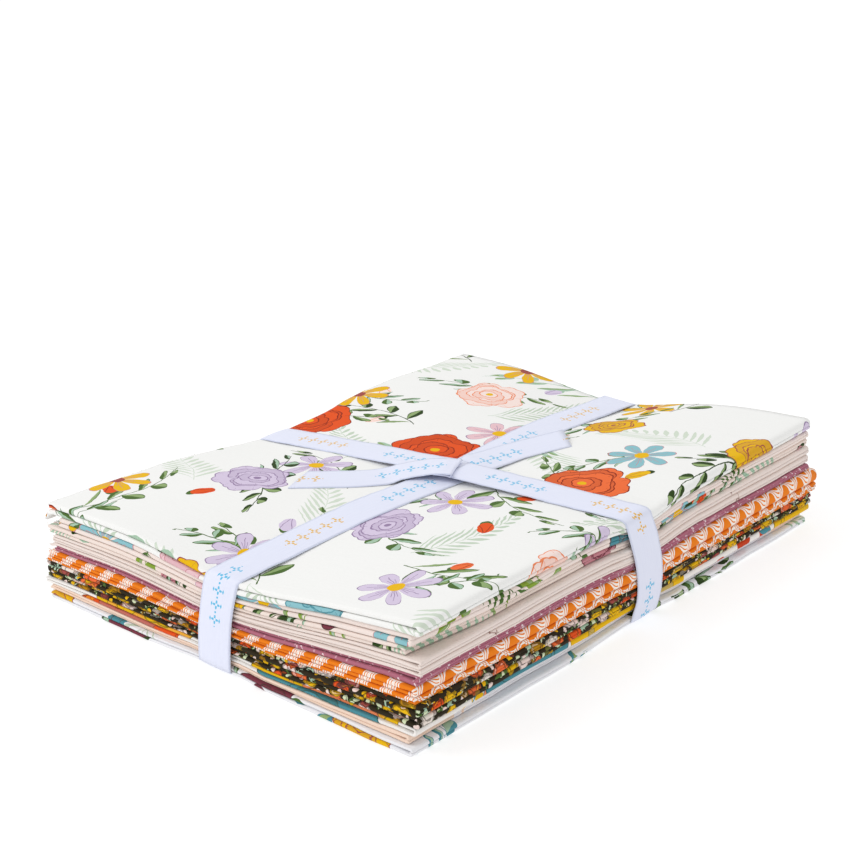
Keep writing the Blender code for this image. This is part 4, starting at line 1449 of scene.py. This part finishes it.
# %% Stripe, and the backs
def stripe_print(name, ground, stripe, pitch, width):
    """A broad soft-edged stripe on a pale ground, along the length of the cloth."""
    paint = Paint(name)
    place = paint.wobble(paint.flat(), 12.0, 2.0)
    _, y, _ = paint.split(place)
    off = abs((y / pitch).part() - 0.5) * pitch
    colour = paint.blend(ground, stripe, off > (pitch - width) / 2)
    # a thin line runs 5 mm beside the stripe
    thin = abs(off - ((pitch - width) / 2 - 5.0)) < 0.7
    colour = paint.blend(colour, stripe, thin)
    return finish_cloth(paint, colour, paint.flat())


# How much of the front's tone shows on the back
SHOWS_THROUGH = 0.8


def back_of(name, front_tone, back_tone):
    """The back of a printed cotton: the ground colour with a little of the print showing through."""
    paint = Paint(name)
    place = paint.flat()
    patch, _ = paint.noise(place, 0.05)
    colour = paint.blend(back_tone, front_tone, (patch - 0.3).most(0.0) * SHOWS_THROUGH)
    return finish_cloth(paint, colour, place)


# %% Inks of the flowers
# A short name for the tables. In the garden prints a flower is a pair: the body's ink and the pen line's
P = PALETTE
WHITE_FLOWERS = [
    (P["orange"], P["rust"]), (P["sky"], P["teal"]), (P["shell"], P["coral"]), (P["pink"], P["rose"]),
    (P["mustard"], P["brick"]), (P["lilac"], P["violet"]), (P["flame"], P["rust"]), (P["orange"], P["rust"]),
]
BASE_FLOWERS = [
    (P["wine"], P["ink"]), (P["orange"], P["wine"]), (P["mustard"], P["brick"]), (P["teal"], P["ink"]),
]
UPPER_FLOWERS = [
    (P["wine"], P["ink"]), (P["coral"], P["wine"]), (P["mustard"], P["ochre"]), (P["pink"], P["rose"]),
    (P["wine"], P["ink"]), (P["teal"], P["ink"]),
]
LOWER_FLOWERS = [*BASE_FLOWERS, (P["rose"], P["wine"])]
GARDEN_FLOWERS = [
    P["orange"], P["mustard"], rgb("EFE4DA"), P["brick"],
    P["mustard"], rgb("F0DAD2"), P["flame"], P["ochre"],
]
BLOCK_FLOWERS = [P["teal"], P["coral"], P["mustard"], P["orange"], P["dark_leaf"], P["teal"]]
CREAM = rgb("EFE1DA")
print("flowers of the top cut:", len(WHITE_FLOWERS))

# %% All the prints
prints = {
    "white_floral": garden_print(
        "print white floral", rgb("F6F6F4"), seed=3.0, size=84.0, flowers=WHITE_FLOWERS,
        leaves=[P["leaf"], P["dark_leaf"], P["leaf"], P["mint"]], ferns=[P["mist"], P["sage"], P["mist"]],
        large=18.5),
    "base_white": garden_print(
        "print base white", rgb("F2F2F6"), seed=31.0, size=118.0, flowers=BASE_FLOWERS,
        leaves=[P["teal"], P["dark_leaf"], P["leaf"]], ferns=[P["mint"], P["sage"]], large=18.0),
    "blush_upper": garden_print(
        "print blush upper", rgb("F3E4DD"), seed=47.0, size=96.0, flowers=UPPER_FLOWERS,
        leaves=[P["lime"], P["leaf"], P["dark_leaf"]], ferns=[P["mint"], P["leaf"]], large=19.0),
    "blush_lower": garden_print(
        "print blush lower", rgb("F2E2D9"), seed=59.0, size=104.0, flowers=LOWER_FLOWERS,
        leaves=[P["lime"], P["dark_leaf"]], ferns=[P["leaf"], P["mint"]], large=16.0),
    "dark_garden": packed_print(
        "print dark garden", rgb("322B1D"), seed=71.0, size=15.0, flowers=GARDEN_FLOWERS,
        leaves=[rgb("6A6A34"), P["mint"], P["leaf"], rgb("8A6A2A")], light_leaf=rgb("D6E2BC"),
        ink=rgb("2B241B"), fleck=5.0),
    "colour_block": packed_print(
        "print colour block", rgb("F4F0EC"), seed=87.0, size=104.0, flowers=BLOCK_FLOWERS,
        leaves=[P["teal"], P["dark_leaf"], P["mustard"], P["deep"]], light_leaf=P["coral"],
        ink=P["dark_leaf"], full=0.38),
    "orange_arches": clamshell_print(
        "print orange clamshell", rgb("F0821A"), rgb("FDF6EE"), pitch=12.5, row=6.21, start=2.1),
    "mauve_sprig": sprig_print(
        "print mauve sprig", rgb("B56F82"), rgb("F0DCE1"), size=5.6, seed=5.0, petals=5, radius=0.9,
        second=rgb("D9A9B5")),
    "cream_sprig": sprig_print(
        "print cream sprig", CREAM, rgb("A27F78"), size=42.0, seed=7.0, petals=6, radius=1.6,
        second=rgb("B98F88")),
    "peach": stripe_print("print peach stripe", rgb("F1EFF3"), rgb("F6DBC8"), pitch=280.0, width=52.0),
}
print("prints:", {name: len(material.node_tree.nodes) for name, material in prints.items()})

# %% All the backs
# The print's tone that shows through, and the back's own
BACKS = {
    "white_floral": (P["sage"], rgb("F4F3F1")), "base_white": (P["sage"], rgb("F1F1F3")),
    "blush_upper": (P["rose"], rgb("F4E9E4")), "blush_lower": (P["rose"], rgb("F4E8E2")),
    "dark_garden": (rgb("6E6458"), rgb("8C8274")), "colour_block": (P["sky"], rgb("F1EDEA")),
    "orange_arches": (rgb("F5B27E"), rgb("F8CFAE")), "mauve_sprig": (rgb("C997A4"), rgb("D6AFB9")),
    "cream_sprig": (CREAM, rgb("F1E7E2")), "peach": (rgb("F5DCCB"), rgb("F7E8DD")),
}
backs = {name: back_of("back of " + name, *tones) for name, tones in BACKS.items()}
print("backs:", len(backs))

# %% [markdown]
# ## The ribbon's weave and print
#
# The ribbon is a narrow pale satin with a fine cross rib and a firmer edge. Its shine is drawn out along
# the threads, which a noise stretched one way gives, without any reflection map: the noise varies the
# roughness, and it also lays paler streaks into the colour, which is painted sheen. Printed along it are
# rows of small plain flowers, in blue and in gold in turn.

# %% Sizes on the ribbon
FLOWER_PITCH = 6.6
FLOWER_RADIUS = 2.05
# One row of flowers begins this far after another. Half a row is this many flowers long
ROW_PITCH = 56.0
ROW_HALF = 2.49
SELVEDGE = 0.9
RIB_PITCH = 0.55
SATIN_STREAKS = (0.12, 2.2, 0.0)
print("flowers on a metre of ribbon:", round(1000 / ROW_PITCH) * round(2 * ROW_HALF))

# %% Satin
def ribbon_satin():
    """Pale satin with drawn-out streaks of painted sheen, a firmer edge, rows of small flowers and fine
    cross ribs.
    """
    paint = Paint("ribbon satin")
    place = paint.flat()
    x, y, _ = paint.split(place)
    middle = y - RIBBON_WIDTH / 2
    shine, _ = paint.noise(paint.vector_math("MULTIPLY", {0: place, 1: SATIN_STREAKS}), 1.0)
    # the shine noise lays paler streaks into the colour: painted sheen; it also varies the roughness below
    colour = paint.blend(rgb("D9DDF0"), rgb("E4E7F6"), shine)
    edge = abs(middle) > RIBBON_WIDTH / 2 - SELVEDGE
    colour = paint.blend(colour, rgb("CFD6EC"), edge * 0.6)
    # one row in blue, then one in gold
    unit = x / ROW_PITCH
    along = (unit.part() - 0.5) * ROW_PITCH
    gold = (unit.floor() * 0.5).part() > 0.25
    tint = paint.blend(rgb("58B7DE"), rgb("E0B045"), gold)
    inside = abs(along) < FLOWER_PITCH * ROW_HALF
    flower_x = ((along / FLOWER_PITCH + 0.5).part() - 0.5) * FLOWER_PITCH
    far, angle = polar(flower_x, middle)
    petals = far < FLOWER_RADIUS * (0.66 + 0.34 * (angle * 4.0).cos())
    petals = petals * (far > FLOWER_RADIUS * 0.3)
    between = ((along / FLOWER_PITCH).part() - 0.5) * FLOWER_PITCH
    dot = far_out(between, middle) < 0.5
    colour = paint.blend(colour, tint, petals.most(dot) * inside)
    leaf = (abs(abs(middle) - FLOWER_RADIUS * 1.3) + abs(flower_x) * 0.45 < 0.5) * inside
    colour = paint.blend(colour, tint, leaf)
    ribs = (x * (2 * math.pi / RIB_PITCH)).sin() * 0.02
    ripple, _ = paint.noise(place, 0.2)
    groove = (abs(abs(middle) - (RIBBON_WIDTH / 2 - SELVEDGE)) < 0.25) * -0.06
    return paint.surface({
        "Base Color": colour,
        "Normal": paint.bump(ribs + ripple * 0.2 + groove, 0.25),
        "Roughness": 0.42 + 0.12 * shine,
        "Sheen Weight": 0.1,
        "Specular IOR Level": 0.25,
    })


satin = ribbon_satin()
print("ribbon satin nodes:", len(satin.node_tree.nodes))

# %% [markdown]
# ## What repeats along an edge
#
# Where a cotton was cut from the bolt its threads fray, and a ribbon's weft turns back at each edge in a
# row of tiny loops. Hair or hand-placed copies could make both. But both repeat along a line, so Geometry
# Nodes do it: the line becomes a curve, points are set along it at the spacing asked for, one small shape
# is put on every point, and the result is made into a plain mesh, since an export drops instances.

# %% A node tree for what repeats along a line
class Repeat:
    """One Geometry Nodes tree with named inputs."""

    def __init__(self, name, sizes):
        self.tree = bpy.data.node_groups.new(name, "GeometryNodeTree")
        face = self.tree.interface
        face.new_socket("Line", in_out="INPUT", socket_type="NodeSocketGeometry")
        for label in sizes:
            face.new_socket(label, in_out="INPUT", socket_type="NodeSocketFloat")
        face.new_socket("Seed", in_out="INPUT", socket_type="NodeSocketInt")
        face.new_socket("Finish", in_out="INPUT", socket_type="NodeSocketMaterial")
        face.new_socket("Result", in_out="OUTPUT", socket_type="NodeSocketGeometry")
        self.given = self.tree.nodes.new("NodeGroupInput").outputs

    def node(self, kind, settings=None, inputs=None):
        """Any node: its settings first, then the values or links of its sockets."""
        node = self.tree.nodes.new(kind)
        for name, value in (settings or {}).items():
            setattr(node, name, value)
        for name, value in (inputs or {}).items():
            if isinstance(value, bpy.types.NodeSocket):
                self.tree.links.new(value, node.inputs[name])
            else:
                node.inputs[name].default_value = value
        return node.outputs

    def close(self, instances):
        """Realise the instances, give them their finish and end the tree."""
        real = self.node("GeometryNodeRealizeInstances", {}, {0: instances})
        dressed = {"Geometry": real[0], "Material": self.given["Finish"]}
        done = self.node("GeometryNodeSetMaterial", {}, dressed)
        end = self.tree.nodes.new("NodeGroupOutput")
        self.tree.links.new(done[0], end.inputs[0])
        return self.tree


def points_on_line(repeat):
    """Points along the line that the tree is given, at its spacing."""
    curve = repeat.node("GeometryNodeMeshToCurve", {}, {0: repeat.given["Line"]})
    asked = {"Curve": curve[0], "Length": repeat.given["Spacing"]}
    return repeat.node("GeometryNodeCurveToPoints", {"mode": "LENGTH"}, asked)


# %% [markdown]
# ## Frayed threads
#
# A frayed thread is short, bent and three-sided here, since it is seen only as a line. One tree makes every
# thread: a bent curve with a small ring for its profile, turned and made longer or shorter by chance on
# each point. The seed is an input, so each cotton frays in its own way, and in the same way in every run.

# %% The tree for threads
# The bend of a thread of length 1 and thickness 1, before it is scaled
BEND = {"Resolution": 4, "Start": (0.05, 0.0, 0.0), "Middle": (-0.5, 0.0, 4.0), "End": (-1.0, 0.0, -1.5)}
# It may roll by this much, in radians, and the shortest is this share of the longest
ROLL = 3.0
SHORTEST = 0.25


def fray_tree():
    """A short bent thread on every point, at a chance slant and of a chance length."""
    repeat = Repeat("frayed threads", ("Spacing", "Length", "Thickness", "Slant"))
    points = points_on_line(repeat)
    given = repeat.given
    spread = repeat.node("ShaderNodeCombineXYZ", {}, {"X": ROLL, "Y": given["Slant"], "Z": given["Slant"]})
    less = repeat.node("ShaderNodeVectorMath", {"operation": "SCALE"}, {0: spread[0], "Scale": -1.0})
    limits = {"Min": less[0], "Max": spread[0], "Seed": given["Seed"]}
    turn = repeat.node("FunctionNodeRandomValue", {"data_type": "FLOAT_VECTOR"}, limits)
    turned = repeat.node("FunctionNodeEulerToRotation", {}, {0: turn[0]})
    limits = {2: SHORTEST, 3: 1.0, "Seed": given["Seed"]}
    share = repeat.node("FunctionNodeRandomValue", {"data_type": "FLOAT"}, limits)
    long = repeat.node("ShaderNodeMath", {"operation": "MULTIPLY"}, {0: share[1], 1: given["Length"]})
    measures = {"X": long[0], "Y": given["Thickness"], "Z": given["Thickness"]}
    size = repeat.node("ShaderNodeCombineXYZ", {}, measures)
    bend = repeat.node("GeometryNodeCurveQuadraticBezier", {}, BEND)
    round_it = {"Resolution": 3, "Radius": 0.5}
    ring = repeat.node("GeometryNodeCurvePrimitiveCircle", {"mode": "RADIUS"}, round_it)
    thread = repeat.node("GeometryNodeCurveToMesh", {}, {"Curve": bend[0], "Profile Curve": ring[0]})
    many = repeat.node("GeometryNodeInstanceOnPoints", {}, {
        "Points": points["Points"], "Instance": thread[0], "Rotation": turned[0], "Scale": size[0]})
    return repeat.close(many[0])


threads_tree = fray_tree()
print("nodes for threads:", len(threads_tree.nodes))

# %% [markdown]
# ## The ribbon's woven edge
#
# Seen close, a ribbon's edge is a row of tiny loops, where the weft turns back. Each loop is less than half
# a millimetre, so a ball of twenty faces stands for it. The points carry the ribbon's own direction, which
# turns each ball along the edge, and a little chance in size keeps the row from looking machined.

# %% The tree for loops
def selvedge_tree():
    """A row of small flat loops, each turned along the ribbon's edge."""
    repeat = Repeat("selvedge loops", ("Spacing", "Loop"))
    points = points_on_line(repeat)
    loop = repeat.node("GeometryNodeMeshIcoSphere", {}, {"Radius": 1.0, "Subdivisions": 1})
    limits = {2: 0.85, 3: 1.15, "Seed": repeat.given["Seed"]}
    some = repeat.node("FunctionNodeRandomValue", {"data_type": "FLOAT"}, limits)
    size = repeat.node("ShaderNodeMath", {"operation": "MULTIPLY"}, {0: some[1], 1: repeat.given["Loop"]})
    many = repeat.node("GeometryNodeInstanceOnPoints", {}, {
        "Points": points["Points"], "Instance": loop[0], "Rotation": points["Rotation"], "Scale": size[0]})
    return repeat.close(many[0])


loops_tree = selvedge_tree()
print("nodes for loops:", len(loops_tree.nodes))

# %% [markdown]
# ## From a line to a plain mesh
#
# A modifier with the tree goes on a guide object that is only the line. Each input is set by its
# identifier, since its name is no more than a label. The evaluated result is copied as a plain mesh and the
# guide is removed. What would hang through the floor is lifted onto it, as a real thread lies on a table.

# %% Run a tree along lines
# Nothing goes below this height in metres, because the bundle lies on a floor
FLOOR_CLEARANCE = 0.0001


def repeat_along(name, lines, tree, sizes, seed, finish):
    """A plain mesh of what the tree makes along the lines, which are in the pile's millimetres."""
    points, edges = [], []
    for line in lines:
        first = len(points)
        points += ((line + SHIFT) * MM).tolist()
        edges += [(first + k, first + k + 1) for k in range(len(line) - 1)]
    mesh = bpy.data.meshes.new(name + "_line")
    mesh.from_pydata(points, edges, [])
    guide = bpy.data.objects.new(name + "_line", mesh)
    bpy.context.scene.collection.objects.link(guide)
    modifier = guide.modifiers.new("repeat", "NODES")
    modifier.node_group = tree
    given = {**sizes, "Seed": seed, "Finish": finish}
    for item in tree.interface.items_tree:
        if item.in_out == "INPUT" and item.name in given:
            modifier[item.identifier] = given[item.name]
    graph = bpy.context.evaluated_depsgraph_get()
    made = bpy.data.meshes.new_from_object(guide.evaluated_get(graph), depsgraph=graph)
    made.name = name
    bpy.data.objects.remove(guide)
    places = np.zeros(len(made.vertices) * 3)
    made.vertices.foreach_get("co", places)
    places[2::3] = np.maximum(places[2::3], FLOOR_CLEARANCE)
    made.vertices.foreach_set("co", places)
    made.update()
    piece = bpy.data.objects.new(name, made)
    bpy.context.scene.collection.objects.link(piece)
    return piece


# %% Thread finish
def thread_of(name, tone):
    """The finish of a loose cotton thread: its own tone, a little uneven along it."""
    paint = Paint(name)
    place = paint.node("ShaderNodeTexCoord").outputs["Object"]
    shade, _ = paint.noise(place, 900.0)
    twist, _ = paint.noise(place, 4000.0, 1.0)
    return paint.surface({
        "Base Color": paint.blend(tone, rgb("FFFFFF"), shade * 0.22),
        "Normal": paint.bump(twist, 0.2, 0.0001),
        "Roughness": 0.9,
        "Sheen Weight": 0.2,
    })


# %% Threads at the raw ends
# The ribbon presses the threads flat this near to its middle, in millimetres
PRESSED = 15.0
FRAY_SIZES = {"Spacing": 5.2 * MM, "Length": 1.9 * MM, "Thickness": 0.11 * MM, "Slant": 0.5}
# The top cut was pressed and trimmed last, so its threads are short
TRIMMED_SIZES = {**FRAY_SIZES, "Length": 0.8 * MM}


def free_ends(line):
    """The stretches of a raw end that the ribbon doesn't press flat."""
    free = np.abs(line[:, 1] - SHORT_WRAP["under"][0]) > PRESSED
    stretches = np.split(np.arange(len(line)), np.flatnonzero(np.diff(free)) + 1)
    return [line[rows] for rows in stretches if free[rows[0]] and len(rows) > 1]


frays = {}
for number, cut in enumerate(CUTS):
    name = cut["name"]
    finish = thread_of("thread " + name.replace("_", " "), BACKS[name][1])
    sizes = TRIMMED_SIZES if name == "white_floral" else FRAY_SIZES
    lines = [stretch for line in raw_ends[name] for stretch in free_ends(line)]
    frays[name] = repeat_along("frayed_ends_" + name, lines, threads_tree, sizes, 500 + number, finish)
print("threads, faces:", {name: len(piece.data.polygons) for name, piece in frays.items()})

# %% Loops along the ribbon
LOOP_SIZES = {"Spacing": 0.62 * MM, "Loop": 0.21 * MM}
ribbon_edge = thread_of("ribbon selvedge", rgb("D9DFF2"))
selvedges = {}
for number, (name, grid) in enumerate(strips.items()):
    edges = (grid[0], grid[-1])
    selvedges[name] = repeat_along(
        "selvedge_" + name, edges, loops_tree, LOOP_SIZES, 600 + number, ribbon_edge)
print("selvedge, faces:", {name: len(piece.data.polygons) for name, piece in selvedges.items()})

# %% [markdown]
# ## Hand the pieces over
#
# Each cotton takes the place of its plain solid and rides on the one body of the bundle. A half yard is 18
# inches of a 44-inch-wide cotton, and a full yard is 36 inches.

# %% Cottons as sheets
for cut in CUTS:
    name = cut["name"]
    obj = cloths[name]
    obj.data.materials.append(prints[name])
    obj.data.materials.append(backs[name])
    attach(obj, "root")
    "cotton_" + name
    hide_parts("cut_" + name)
    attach(frays[name], "root")
    "cotton_" + name
for number, cut in enumerate(CUTS):
    name = cut["name"]
    below = [cloths[CUTS[number - 1]["name"]].name] if number else []
print("cottons:", len(cloths), "with threads:", len(frays))

# %% Ribbon as sheets
NODES = {
    "long": "ribbon_wrap_long", "short": "ribbon_wrap_short",
    "tail_left": "ribbon_tail_left", "tail_right": "ribbon_tail_right",
}
for name, obj in ribbons.items():
    obj.data.materials.append(satin)
    obj.data.materials.append(satin)
    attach(obj, "root")
    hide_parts(NODES[name])
    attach(selvedges[name], "root")
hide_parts("ribbon_knot")
print("ribbon pieces:", len(ribbons), "with selvedges:", len(selvedges))

# %% [markdown]
# ## The floor
#
# The bundle lies on a white sweep that fades out without a horizon. A white floor lit by lamps alone would
# need strong lamps, which would bleach the cloth. So a grey floor glows a little, and its grey still takes
# the soft shadow. It lies just under the cloth, and it is no part of the bundle.

# %% Floor
FLOOR_HALF = 9
FLOOR_LEVEL = -0.0002
FLOOR_GREY = 0.45
FLOOR_GLOW = 0.64
floor_mesh = bpy.data.meshes.new("floor")
round_the_floor = ((-1, -1), (1, -1), (1, 1), (-1, 1))
floor_corners = [(FLOOR_HALF * x, FLOOR_HALF * y, FLOOR_LEVEL) for x, y in round_the_floor]
floor_mesh.from_pydata(floor_corners, [], [(0, 1, 2, 3)])
floor = bpy.data.objects.new("floor", floor_mesh)
bpy.context.scene.collection.objects.link(floor)
floor_mesh.materials.append(Paint("pale floor").surface({
    "Base Color": (FLOOR_GREY, FLOOR_GREY, FLOOR_GREY, 1.0),
    "Roughness": 1.0,
    "Specular IOR Level": 0.0,
    "Emission Color": (1.0, 1.0, 1.0, 1.0),
    "Emission Strength": FLOOR_GLOW,
}))
print("floor:", 2 * FLOOR_HALF, "metres wide")

# %% [markdown]
# ## The light
#
# The photograph has the even light of a white studio, with shadows only where layers meet. A bright even
# world gives that. One broad lamp high on the left makes the folds' tops a little lighter than their
# fronts, and a weak one behind keeps the far edge clear. Standard colour keeps white cotton white, where a
# film-like one greys it.

# %% Light
WORLD_STRENGTH = 0.80
world = bpy.data.worlds.new("soft studio")
bpy.context.scene.world = world
world.use_nodes = True
background = world.node_tree.nodes["Background"]
background.inputs["Color"].default_value = (1.0, 1.0, 1.0, 1.0)
background.inputs["Strength"].default_value = WORLD_STRENGTH


def soft_light(name, place, size, power):
    """A round white lamp of a size in metres and a power in watts, facing the bundle."""
    data = bpy.data.lights.new(name, "AREA")
    data.shape = "DISK"
    data.size = size
    data.energy = power
    light = bpy.data.objects.new(name, data)
    light.location = place
    light.rotation_euler = (-Vector(place)).to_track_quat("-Z", "Y").to_euler()
    bpy.context.scene.collection.objects.link(light)


soft_light("high left", (-1.3, -1.3, 1.7), 1.5, 21.0)
soft_light("behind right", (0.4, 1.5, 1.6), 1.6, 4.0)
bpy.context.scene.view_settings.view_transform = "Standard"
print("world strength:", WORLD_STRENGTH, "lamps:", len(bpy.data.lights))

# %% [markdown]
# ## The camera
#
# The camera stands where the photograph was taken from. Its place, turn and lens were fitted to the corners
# of the pile, with the real size of folded cotton: a long lens, nearly a metre away and a little above.

# %% Camera
CAMERA_PLACE = (0.512957, -0.607528, 0.37781)
# Degrees up from straight down, and round from looking along +Y
CAMERA_TILT = 68.295
CAMERA_TURN = 40.587
LENS = 79.89
SENSOR = 36.0
camera_data = bpy.data.cameras.new("camera")
camera_data.lens = LENS
camera_data.sensor_width = SENSOR
camera = bpy.data.objects.new("camera", camera_data)
camera.location = CAMERA_PLACE
camera.rotation_euler = (math.radians(CAMERA_TILT), 0.0, math.radians(CAMERA_TURN))
bpy.context.scene.collection.objects.link(camera)
bpy.context.scene.camera = camera
print("camera from the frame's origin, metres:", round(math.hypot(*CAMERA_PLACE), 3))
